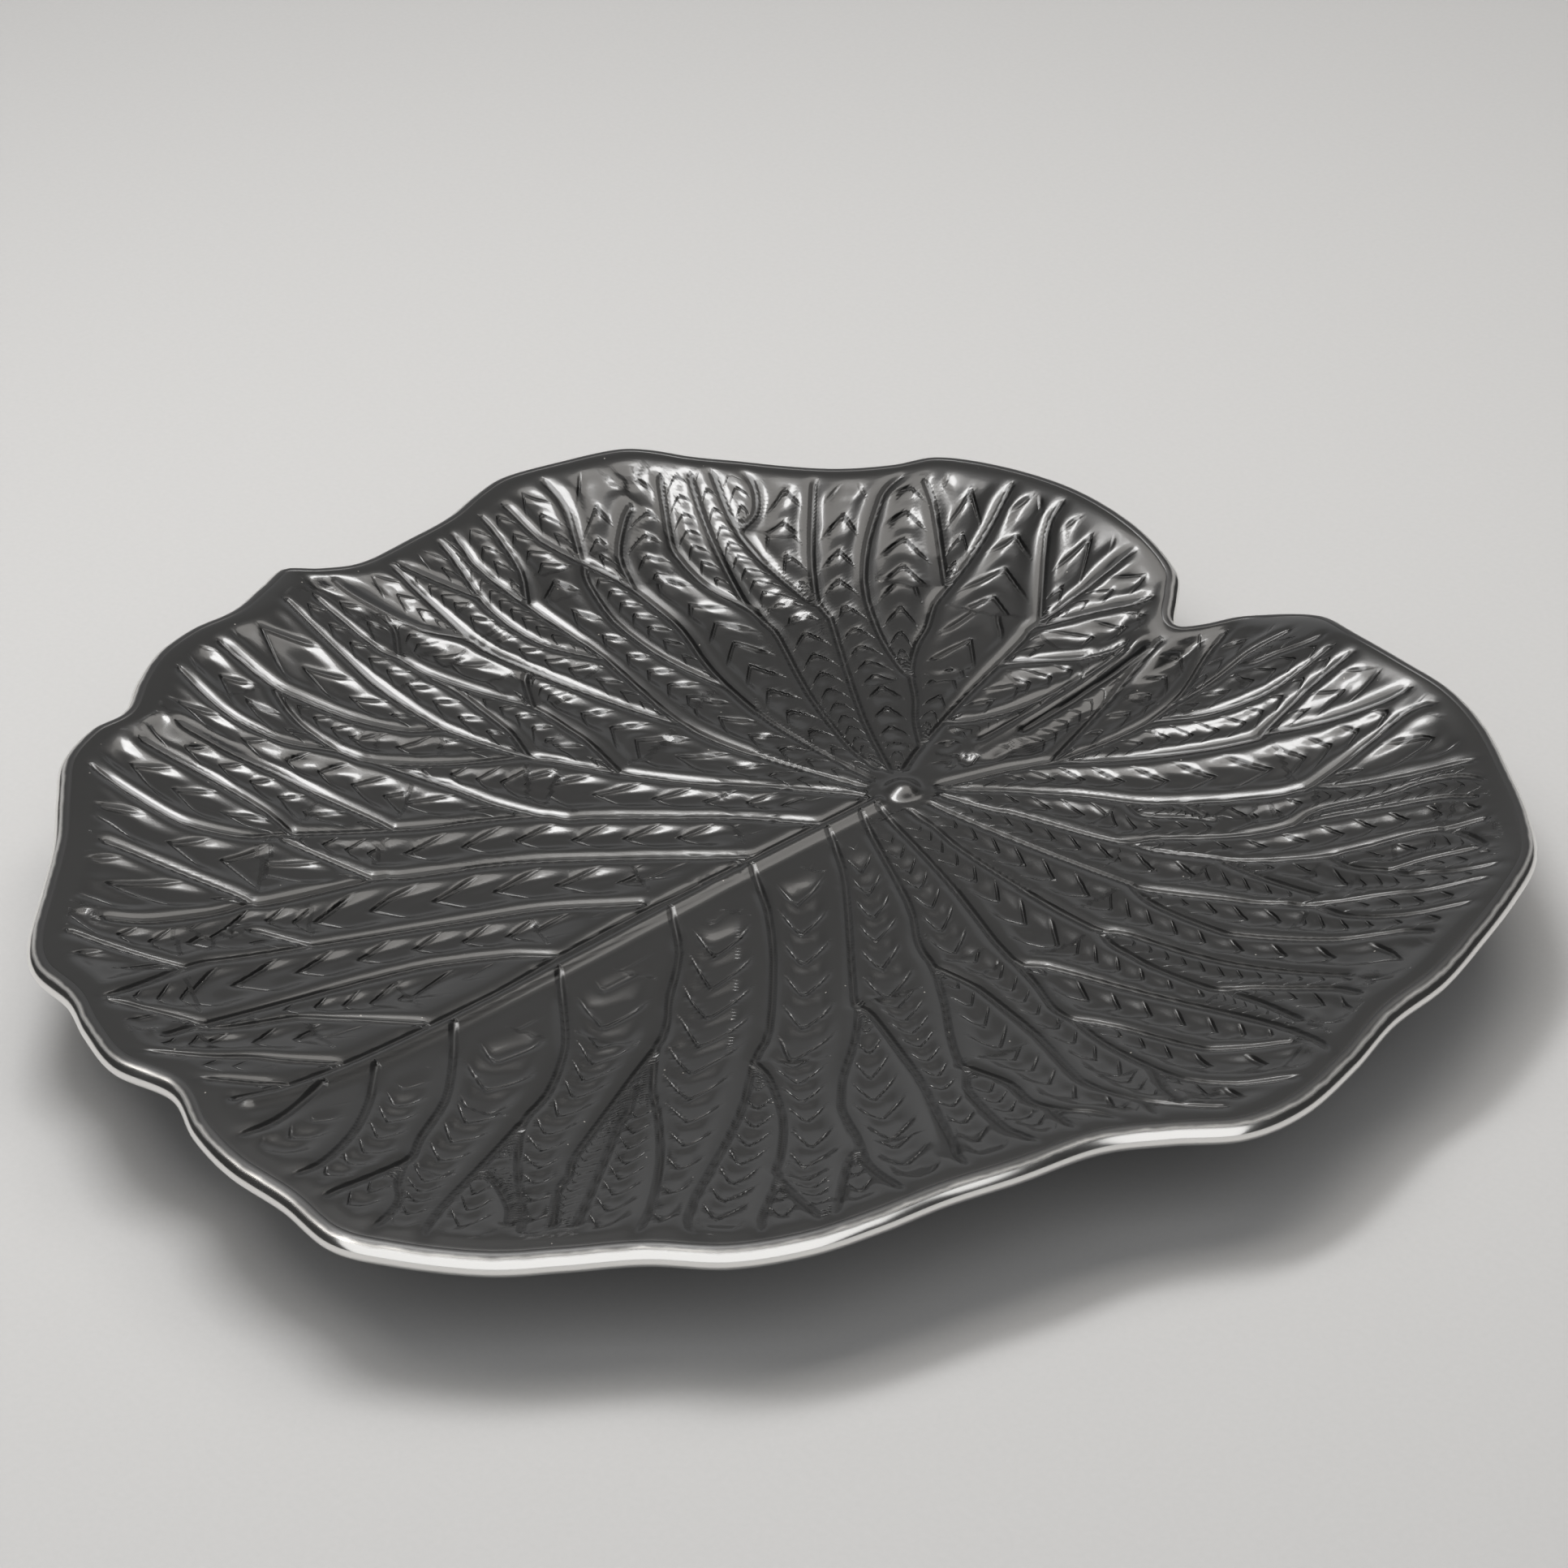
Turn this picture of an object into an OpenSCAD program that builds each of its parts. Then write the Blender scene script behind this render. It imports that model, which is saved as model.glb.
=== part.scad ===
// Leaf shaped plate: one moulded ceramic water lily leaf with raised veins, a raised foot that
// follows the outline, and a silver lustre fired onto its lip.
// The origin is on the table under the plate's middle, the tip points along -Y and the notch along +Y.

/* [Leaf] */
// Half the leaf's nominal width: every outline and vein share is a share of this
leaf_half_w = 150; // [120:1:175]
// Height of the lip's top above the table
rim_h = 28; // [22:0.5:36]
// How much the rim dips at the notch
notch_dip = 9; // [0:0.5:10]
// Rise and fall of the rim from lobe to lobe
rim_wave = 1.2; // [0:0.1:2]
// Thickness of the wall
wall_t = 5; // [4:0.1:6]
// Hollow under the hub, above the table
hollow_h = 2.5; // [1.5:0.1:4]

/* [Veins] */
// Width of the midrib at the hub
midrib_w = 6; // [4:0.1:8]
// Height of the midrib above the leaf
midrib_h = 2.2; // [1:0.1:3]
// Width of a main vein
main_w = 5; // [3.5:0.1:6]
// Height of a main vein above the leaf
main_h = 1.5; // [0.8:0.1:2]
// Width of a forked vein
fork_w = 4.2; // [3:0.1:5]
// Height of a forked vein above the leaf
fork_h = 1.2; // [0.6:0.1:2]
// How deep a vein's foot is rooted in the leaf
vein_root = 0.8; // [0.5:0.1:1.2]

/* [Hub] */
// Width of the round hub
hub_d = 17; // [12:0.5:22]
// Height of the hub above the leaf
hub_rise = 3.6; // [2:0.1:5]

/* [Lip] */
// How far the rounded lip reaches outward
lip_w = 2.8; // [2:0.1:4]
// Thickness that the silver lustre is drawn with
lustre_t = 0.4; // [0.2:0.05:0.6]

/* [Foot] */
// Width of the raised foot
foot_w = 7; // [5:0.5:10]

/* [Hidden] */

// Outline of the leaf from the notch round by the left, the tip and the right, as [x, y] shares
outline_shares = [
    [0.01, 0.585], [-0.025, 0.625], [-0.06, 0.663], [-0.12, 0.68], [-0.21, 0.687], [-0.31, 0.685],
    [-0.41, 0.668], [-0.5, 0.64], [-0.555, 0.605], [-0.585, 0.545], [-0.635, 0.475], [-0.69, 0.418],
    [-0.75, 0.365], [-0.81, 0.312], [-0.87, 0.275], [-0.91, 0.232], [-0.943, 0.14], [-0.972, 0.045],
    [-0.965, -0.02], [-0.942, -0.1], [-0.934, -0.19], [-0.926, -0.29], [-0.95, -0.345], [-0.988, -0.395],
    [-0.962, -0.46], [-0.928, -0.54], [-0.923, -0.62], [-0.9, -0.7], [-0.855, -0.77], [-0.802, -0.835],
    [-0.797, -0.9], [-0.76, -0.975], [-0.69, -1.035], [-0.6, -1.105], [-0.51, -1.19], [-0.42, -1.275],
    [-0.35, -1.315], [-0.26, -1.325], [-0.18, -1.353], [-0.09, -1.372], [0.01, -1.352], [0.1, -1.382],
    [0.19, -1.394], [0.29, -1.386], [0.39, -1.388], [0.47, -1.345], [0.56, -1.272], [0.62, -1.195],
    [0.68, -1.115], [0.76, -1.045], [0.815, -0.955], [0.845, -0.86], [0.865, -0.765], [0.895, -0.66],
    [0.92, -0.54], [0.965, -0.455], [1.02, -0.37], [1.034, -0.27], [1.015, -0.15], [0.988, -0.04],
    [0.982, 0.07], [0.955, 0.18], [0.918, 0.295], [0.87, 0.4], [0.79, 0.485], [0.7, 0.555],
    [0.6, 0.622], [0.5, 0.66], [0.39, 0.668], [0.3, 0.677], [0.21, 0.704], [0.13, 0.702],
    [0.07, 0.673], [0.037, 0.615]
];

// Midrib from the hub to the tip
midrib_shares = [[-0.01, 0], [-0.026, -0.12], [-0.022, -0.4], [-0.008, -0.68], [0.02, -0.95], [0.055, -1.22]];

// Main veins, each from the hub or the midrib out to the rim, as [x, y] shares
main_shares = [
    [[0.02, -1.08], [-0.05, -1.18], [-0.11, -1.28]],
    [[0.01, -0.91], [-0.06, -1.01], [-0.11, -1.14], [-0.17, -1.26]],
    [[-0.015, -0.65], [-0.09, -0.78], [-0.13, -0.93], [-0.14, -1.13], [-0.25, -1.27]],
    [[-0.02, -0.43], [-0.13, -0.58], [-0.19, -0.75], [-0.25, -0.98], [-0.27, -1.27]],
    [[-0.02, -0.26], [-0.16, -0.4], [-0.28, -0.64], [-0.35, -0.88], [-0.42, -1.12], [-0.47, -1.18]],
    [[-0.02, -0.12], [-0.19, -0.27], [-0.34, -0.48], [-0.43, -0.64], [-0.49, -0.77]],
    [[-0.01, -0.02], [-0.18, -0.145], [-0.35, -0.27], [-0.46, -0.36], [-0.56, -0.54]],
    [[0, 0], [-0.2, -0.065], [-0.42, -0.125], [-0.6, -0.2], [-0.76, -0.265], [-0.89, -0.31]],
    [[0, 0], [-0.22, 0.005], [-0.44, 0.0], [-0.64, -0.02], [-0.78, -0.085], [-0.91, -0.1]],
    [[0, 0], [-0.22, 0.07], [-0.42, 0.13], [-0.55, 0.178], [-0.7, 0.15], [-0.85, 0.19]],
    [[0, 0], [-0.2, 0.14], [-0.44, 0.255], [-0.64, 0.275], [-0.82, 0.305]],
    [[0, 0], [-0.17, 0.19], [-0.35, 0.32], [-0.51, 0.405], [-0.65, 0.44]],
    [[0, 0], [-0.16, 0.205], [-0.32, 0.405], [-0.44, 0.52], [-0.52, 0.61]],
    [[0, 0], [-0.09, 0.15], [-0.16, 0.33], [-0.2, 0.46], [-0.28, 0.59], [-0.31, 0.66]],
    [[0, 0], [-0.034, 0.16], [-0.03, 0.35], [-0.022, 0.55]],
    [[0, 0], [0.014, 0.18], [0.045, 0.4], [0.09, 0.65]],
    [[0, 0], [0.04, 0.19], [0.11, 0.38], [0.125, 0.52], [0.18, 0.66]],
    [[0, 0], [0.07, 0.2], [0.22, 0.37], [0.34, 0.5], [0.42, 0.63]],
    [[0, 0], [0.11, 0.15], [0.3, 0.28], [0.46, 0.41], [0.62, 0.56]],
    [[0, 0], [0.18, 0.11], [0.42, 0.195], [0.6, 0.212], [0.79, 0.3]],
    [[0, 0], [0.18, 0.038], [0.38, 0.066], [0.58, 0.062], [0.73, 0.125], [0.83, 0.21]],
    [[0, 0], [0.2, -0.033], [0.44, -0.048], [0.66, -0.072], [0.91, -0.085]],
    [[-0.01, -0.045], [0.2, -0.105], [0.42, -0.19], [0.62, -0.25], [0.82, -0.26], [0.93, -0.21]],
    [[-0.02, -0.07], [0.16, -0.17], [0.34, -0.285], [0.56, -0.45], [0.7, -0.525], [0.81, -0.545]],
    [[-0.02, -0.12], [0.14, -0.24], [0.34, -0.41], [0.56, -0.52], [0.77, -0.65]],
    [[-0.02, -0.26], [0.15, -0.42], [0.34, -0.61], [0.46, -0.78], [0.61, -0.96]],
    [[-0.02, -0.39], [0.1, -0.575], [0.24, -0.72], [0.45, -0.89], [0.63, -1.07]],
    [[-0.01, -0.66], [0.12, -0.775], [0.24, -0.92], [0.39, -1.07], [0.48, -1.21]],
    [[0.015, -0.88], [0.13, -0.98], [0.23, -1.13], [0.32, -1.31]],
    [[0.035, -1.04], [0.11, -1.14], [0.16, -1.31]]
];

// Forks, each from a main vein towards the rim
fork_shares = [
    [[-0.27, -1.08], [-0.34, -1.15], [-0.42, -1.2]],
    [[-0.36, -0.92], [-0.48, -0.97], [-0.63, -1.05]],
    [[-0.32, -0.73], [-0.47, -0.8], [-0.6, -0.9], [-0.78, -0.935]],
    [[-0.49, -0.77], [-0.63, -0.79], [-0.78, -0.84]],
    [[-0.43, -0.64], [-0.62, -0.7], [-0.83, -0.76]],
    [[-0.33, -0.46], [-0.48, -0.515], [-0.63, -0.6], [-0.71, -0.675], [-0.87, -0.7]],
    [[-0.46, -0.355], [-0.58, -0.4], [-0.65, -0.48], [-0.77, -0.57]],
    [[-0.46, -0.345], [-0.62, -0.325], [-0.78, -0.355], [-0.95, -0.38]],
    [[-0.6, -0.405], [-0.74, -0.43], [-0.96, -0.43]],
    [[-0.42, -0.125], [-0.6, -0.105], [-0.72, -0.165], [-0.91, -0.22]],
    [[-0.42, 0.005], [-0.58, 0.062], [-0.72, 0.058], [-0.84, 0.02], [-0.96, 0]],
    [[-0.42, 0.13], [-0.6, 0.12], [-0.76, 0.11], [-0.9, 0.18]],
    [[-0.46, 0.26], [-0.58, 0.35], [-0.72, 0.39]],
    [[-0.3, 0.38], [-0.36, 0.52], [-0.41, 0.65]],
    [[-0.17, 0.39], [-0.12, 0.52], [-0.06, 0.63]],
    [[0.115, 0.4], [0.2, 0.48], [0.25, 0.56], [0.27, 0.66]],
    [[0.27, 0.43], [0.29, 0.55], [0.3, 0.66]],
    [[0.42, 0.38], [0.43, 0.5], [0.465, 0.64]],
    [[0.2, 0.21], [0.36, 0.28], [0.52, 0.385], [0.69, 0.5]],
    [[0.43, 0.2], [0.54, 0.27], [0.65, 0.39], [0.75, 0.42]],
    [[0.38, 0.066], [0.56, 0.145], [0.7, 0.19], [0.81, 0.27]],
    [[0.43, -0.046], [0.6, -0.008], [0.78, 0.03], [0.87, 0.05]],
    [[0.41, -0.185], [0.56, -0.14], [0.74, -0.108], [0.92, -0.12]],
    [[0.58, -0.24], [0.76, -0.195], [0.88, -0.13]],
    [[0.33, -0.28], [0.52, -0.3], [0.72, -0.365], [0.83, -0.375], [0.93, -0.33]],
    [[0.35, -0.42], [0.47, -0.57], [0.62, -0.69], [0.78, -0.755]],
    [[0.35, -0.62], [0.5, -0.72], [0.73, -0.89]],
    [[0.25, -0.73], [0.36, -0.95], [0.56, -1.19]],
    [[0.25, -0.93], [0.33, -1.12], [0.42, -1.29]]
];

// Bearing of the notch and the width of the dip, in degrees
notch_bearing = 86;
notch_spread = 12;
// Waves of the rim round the leaf
rim_waves = 7;
// How late the leaf curls up: the rise goes as the share of the way to the rim to this power
curl = 3;
// Rows of the leaf's upper and lower side, as shares of the way from the hub to the lip
upper_row_shares = [0.3, 0.52, 0.7, 0.86, 1];
foot_in_share = 0.56;
foot_out_share = foot_in_share + foot_w / (leaf_half_w - lip_w);
lower_row_shares = [1, 0.82, foot_out_share, foot_in_share, 0.3];
// Faces round the lip's half circle, and the first of them that the silver covers
lip_faces = 6;
silver_from = 1;
// Shoulders of a vein and its width at the rim, as shares of its width at the hub
shoulder_share = 0.4;
vein_end_share = 0.62;
// Longest straight run of a vein, as a share of half the leaf's width
vein_step_share = 0.093;
// Smooth margin beside the lip, as a share of the way from the hub
margin_share = 0.07;
hub_z = hollow_h + wall_t;

// Point on a smooth curve through b and c, from its neighbours, at share t of the way
function curve_point(a, b, c, d, t) =
    0.5 * (2 * b + (c - a) * t + (2 * a - 5 * b + 4 * c - d) * t * t + (3 * b - a - 3 * c + d) * t * t * t);

function wrapped(list, i) = list[(i + len(list)) % len(list)];

// Open curve through a route's points, with no run longer than the given length
function route_curve(p, run) = concat(
    [for (i = [0 : len(p) - 2], steps = max(1, ceil(norm(p[i + 1] - p[i]) / run)), k = [0 : steps - 1])
        curve_point(
            i == 0 ? 2 * p[0] - p[1] : p[i - 1],
            p[i],
            p[i + 1],
            i == len(p) - 2 ? 2 * p[i + 1] - p[i] : p[i + 2],
            k / steps
        )
    ],
    [p[len(p) - 1]]
);

function unit(v) = v / norm(v);
function turned(v) = [v[1], -v[0]];
function crossed(a, b) = a[0] * b[1] - a[1] * b[0];

// Outer edge of the leaf, its outward direction and the line where the rounded lip starts
edge = outline_shares * leaf_half_w;
outward = [for (i = [0 : len(edge) - 1]) turned(unit(wrapped(edge, i + 1) - wrapped(edge, i - 1)))];
lip_line = [for (i = [0 : len(edge) - 1]) edge[i] - (lip_w + lustre_t) * outward[i]];

// Middle of the plate as seen from above, measured from the hub
low = [min([for (p = edge) p[0]]), min([for (p = edge) p[1]])];
high = [max([for (p = edge) p[0]]), max([for (p = edge) p[1]])];
middle = (low + high) / 2;

// Height of the rim at a bearing
function bearing_gap(a, b) = (a - b + 540) % 360 - 180;
function rim_z(p) =
    let (bearing = atan2(p[1], p[0]))
    rim_h + rim_wave * sin(rim_waves * bearing)
        - notch_dip * exp(-pow(bearing_gap(bearing, notch_bearing) / notch_spread, 2));
lip_z = [for (p = lip_line) rim_z(p)];

// Height of the leaf's upper side at a share of the way to a rim of the given height
function leaf_z(share, top) = hub_z + (top - hub_z) * pow(share, curl);

// Where a point of the plan lies: its share of the way to the lip, and the height of the rim beyond it
function spot(p) =
    let (
        n = len(lip_line),
        hits = [
            for (i = [0 : n - 1])
                let (a = lip_line[i], b = wrapped(lip_line, i + 1))
                if (crossed(a, p) >= 0 && crossed(p, b) > 0 && a * p > 0) i
        ],
        i = len(hits) == 0 ? 0 : hits[0],
        a = lip_line[i],
        b = wrapped(lip_line, i + 1),
        from_a = crossed(p, b) / crossed(a, b),
        from_b = crossed(a, p) / crossed(a, b),
        share = from_a + from_b
    )
    len(hits) == 0 ? [0, rim_h] : [share, (from_a * lip_z[i] + from_b * wrapped(lip_z, i + 1)) / share];

// Height of the leaf's upper side over a point of the plan
function surface_z(p) = let (at = spot(p)) leaf_z(min(1, at[0]), at[1]);

// Share of its height that a vein keeps at a point, as it fades into the smooth margin
function kept_share(p) = max(0, min(1, (1 - spot(p)[0]) / margin_share));

// One ring of points at a share of the way to the lip, lowered by the given depth
function leaf_ring(share, depth) = [
    for (i = [0 : len(lip_line) - 1])
        [share * lip_line[i][0], share * lip_line[i][1], leaf_z(share, lip_z[i]) - depth]
];

// One ring of points round the lip at an angle above the horizontal, grown by the given amount
function lip_ring(angle, grown) = [
    for (i = [0 : len(lip_line) - 1])
        let (p = lip_line[i] + (lip_w + grown) * cos(angle) * outward[i])
        [p[0], p[1], lip_z[i] - wall_t / 2 + (wall_t / 2 + grown) * sin(angle)]
];

function lip_angle(k) = 90 - 180 * k / lip_faces;
function flat(rings) = [for (ring = rings) each ring];

// Triangles between each ring of n points and the next, with a last ring joined to the first if closed
function skin(rings, n, closed) = [
    for (j = [0 : rings - (closed ? 1 : 2)], i = [0 : n - 1])
        let (
            a = j * n + i,
            b = j * n + (i + 1) % n,
            c = ((j + 1) % rings) * n + (i + 1) % n,
            d = ((j + 1) % rings) * n + i
        )
        each [[a, b, c], [a, c, d]]
];

// Solid from a stack of rings, closed by a point over the first and one under the last
module capped_rings(rings, first, last) {
    n = len(rings[0]);
    m = len(rings);
    polyhedron(
        concat(flat(rings), [first, last]),
        concat(
            skin(m, n, false),
            [for (i = [0 : n - 1]) [m * n, (i + 1) % n, i]],
            [for (i = [0 : n - 1]) [m * n + 1, (m - 1) * n + i, (m - 1) * n + (i + 1) % n]]
        )
    );
}

// Solid ring from a stack of rings whose last joins the first
module closed_rings(rings) {
    polyhedron(flat(rings), skin(len(rings), len(rings[0]), true));
}

// Leaf wall with its rounded lip
module leaf_shell() {
    capped_rings(
        concat(
            [for (share = upper_row_shares) leaf_ring(share, 0)],
            [for (k = [1 : lip_faces - 1]) lip_ring(lip_angle(k), 0)],
            [for (share = lower_row_shares) leaf_ring(share, wall_t)]
        ),
        [0, 0, hub_z],
        [0, 0, hollow_h]
    );
}

// Five points across a vein from its right to its left: foot, two shoulders, foot and root
function vein_section(p, right, w, h) =
    let (
        near = p + right * w / 2,
        far = p - right * w / 2,
        near_z = surface_z(near),
        far_z = surface_z(far),
        mid_z = surface_z(p),
        top = h * kept_share(p) - vein_root * (1 - kept_share(p))
    )
    [
        [near[0], near[1], near_z - vein_root],
        [each (p + right * w * shoulder_share / 2), mid_z + (near_z - mid_z) * shoulder_share + top],
        [each (p - right * w * shoulder_share / 2), mid_z + (far_z - mid_z) * shoulder_share + top],
        [far[0], far[1], far_z - vein_root],
        [p[0], p[1], mid_z - 2 * vein_root]
    ];

// Raised vein that narrows towards its end, which is rounded or cut off short
module vein(route_shares, w, h, rounded) {
    line = route_curve(route_shares * leaf_half_w, vein_step_share * leaf_half_w);
    last = len(line) - 1;
    sections = [
        for (i = [0 : last])
            let (
                right = turned(unit(line[min(i + 1, last)] - line[max(i - 1, 0)])),
                share = 1 - (1 - vein_end_share) * i / last
            )
            vein_section(line[i], right, w * share, h * share)
    ];
    capped_rings(
        sections,
        [for (k = [0 : 2]) (sections[0][0][k] + sections[0][3][k]) / 2],
        [for (k = [0 : 2]) (sections[last][0][k] + sections[last][3][k]) / 2]
    );
    if (rounded)
        vein_tip(line[last], unit(line[last] - line[last - 1]), w * vein_end_share, h * vein_end_share);
}

// Rounded end of a vein, falling to the leaf
module vein_tip(p, ahead, w, h) {
    hull() {
        vein_bead(p, w, h);
        vein_bead(p + ahead * w, w / 2, 0);
    }
}

module vein_bead(p, w, h) {
    translate([p[0], p[1], surface_z(p) - vein_root])
        cylinder(d1 = w, d2 = w * shoulder_share, h = h * kept_share(p) + vein_root / 2, $fn = 6);
}

// Round hub where the stalk would join
module hub() {
    translate([0, 0, hub_z])
        scale([hub_d / 2, hub_d / 2, hub_rise])
            sphere(r = 1, $fn = 24);
}

// Moves what is drawn round the hub to its place on the table
module on_table() {
    translate([-middle[0], -middle[1], 0]) children();
}

// The moulded leaf
module leaf_dish() {
    color("#2e2f31") on_table() {
        leaf_shell();
        hub();
        vein(midrib_shares, midrib_w, midrib_h, true);
        for (route = main_shares) vein(route, main_w, main_h, true);
        for (route = fork_shares) vein(route, fork_w, fork_h, false);
    }
}

// Silver lustre round the lip
module rim_lustre() {
    color("#c9c9cc") on_table()
        closed_rings(concat(
            [for (k = [silver_from : lip_faces]) lip_ring(lip_angle(k), lustre_t)],
            [for (k = [lip_faces : -1 : silver_from]) lip_ring(lip_angle(k), 0)]
        ));
}

// Raised foot that follows the outline
module foot_ring() {
    color("#3a3a3b") on_table()
        closed_rings([
            leaf_ring(foot_in_share, wall_t),
            leaf_ring(foot_out_share, wall_t),
            [for (p = leaf_ring(foot_out_share, 0)) [p[0], p[1], 0]],
            [for (p = leaf_ring(foot_in_share, 0)) [p[0], p[1], 0]]
        ]);
}

leaf_dish();
rim_lustre();
foot_ring();
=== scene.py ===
import math

import bpy
import numpy as np
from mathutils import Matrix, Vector


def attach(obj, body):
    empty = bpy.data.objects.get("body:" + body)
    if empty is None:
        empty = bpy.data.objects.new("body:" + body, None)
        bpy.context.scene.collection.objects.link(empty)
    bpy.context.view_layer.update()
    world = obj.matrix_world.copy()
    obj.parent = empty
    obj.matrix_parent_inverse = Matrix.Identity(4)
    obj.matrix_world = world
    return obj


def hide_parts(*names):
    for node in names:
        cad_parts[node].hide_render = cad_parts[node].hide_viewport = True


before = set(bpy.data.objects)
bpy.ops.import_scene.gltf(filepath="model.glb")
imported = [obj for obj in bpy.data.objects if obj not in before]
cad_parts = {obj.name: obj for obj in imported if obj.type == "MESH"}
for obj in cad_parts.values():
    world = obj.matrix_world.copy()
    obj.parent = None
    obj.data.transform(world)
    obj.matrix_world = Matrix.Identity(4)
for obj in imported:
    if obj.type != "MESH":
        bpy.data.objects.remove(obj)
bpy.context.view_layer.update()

# The leaf: one piece of clay, pressed in a mould cut like a water lily leaf, with a notch at the back, a
# hub where the stalk would join, a straight midrib to the tip and side veins that fork. The fields between
# the veins are stamped with pointed notches, and the whole leaf is dipped in a charcoal glaze.

# Lengths are in millimetres and bearings in degrees, from the hub; the outline and the veins are written as
# shares of the leaf's half width, with the tip towards -y and the notch towards +y
MM = 0.001
LEAF_HALF_W = 150.0
WALL = 5.0
LIP_W = 3.2
HUB_Z = 7.5

# The rim waves up and down round the leaf and dips at the notch; the leaf curls up to it late, by a power
# of the share from hub to lip, and levels off past ROLL_SHARE
RIM_H = 28.0
RIM_WAVE, RIM_WAVES = 1.2, 7
NOTCH_DIP, NOTCH_BEARING, NOTCH_SPREAD = 9.0, 86.0, 12.0
CURL = 3.0
ROLL_SHARE = 0.97

# Outline of the leaf from the notch round by the left, the tip and the right
OUTLINE = [
    (0.01, 0.585), (-0.025, 0.625), (-0.06, 0.663), (-0.12, 0.68), (-0.21, 0.687), (-0.31, 0.685),
    (-0.41, 0.668), (-0.5, 0.64), (-0.555, 0.605), (-0.585, 0.545), (-0.635, 0.475), (-0.69, 0.418),
    (-0.75, 0.365), (-0.81, 0.312), (-0.87, 0.275), (-0.91, 0.232), (-0.943, 0.14), (-0.972, 0.045),
    (-0.965, -0.02), (-0.942, -0.1), (-0.934, -0.19), (-0.926, -0.29), (-0.95, -0.345), (-0.988, -0.395),
    (-0.962, -0.46), (-0.928, -0.54), (-0.923, -0.62), (-0.9, -0.7), (-0.855, -0.77), (-0.802, -0.835),
    (-0.797, -0.9), (-0.76, -0.975), (-0.69, -1.035), (-0.6, -1.105), (-0.51, -1.19), (-0.42, -1.275),
    (-0.35, -1.315), (-0.26, -1.325), (-0.18, -1.353), (-0.09, -1.372), (0.01, -1.352), (0.1, -1.382),
    (0.19, -1.394), (0.29, -1.386), (0.39, -1.388), (0.47, -1.345), (0.56, -1.272), (0.62, -1.195),
    (0.68, -1.115), (0.76, -1.045), (0.815, -0.955), (0.845, -0.86), (0.865, -0.765), (0.895, -0.66),
    (0.92, -0.54), (0.965, -0.455), (1.02, -0.37), (1.034, -0.27), (1.015, -0.15), (0.988, -0.04),
    (0.982, 0.07), (0.955, 0.18), (0.918, 0.295), (0.87, 0.4), (0.79, 0.485), (0.7, 0.555),
    (0.6, 0.622), (0.5, 0.66), (0.39, 0.668), (0.3, 0.677), (0.21, 0.704), (0.13, 0.702),
    (0.07, 0.673), (0.037, 0.615),
]

# The midrib and the thin band to the notch are raised: their middle lines
MIDRIB = [
    (0, -0.03), (0, -0.3), (0.01, -0.5), (0.018, -0.6), (0.027, -0.7), (0.038, -0.8), (0.052, -0.9),
    (0.066, -1), (0.082, -1.1), (0.094, -1.2), (0.097, -1.29),
]
NOTCH_BAND = [(-0.012, 0.17), (-0.006, 0.3), (0, 0.4), (0.005, 0.52)]

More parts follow.
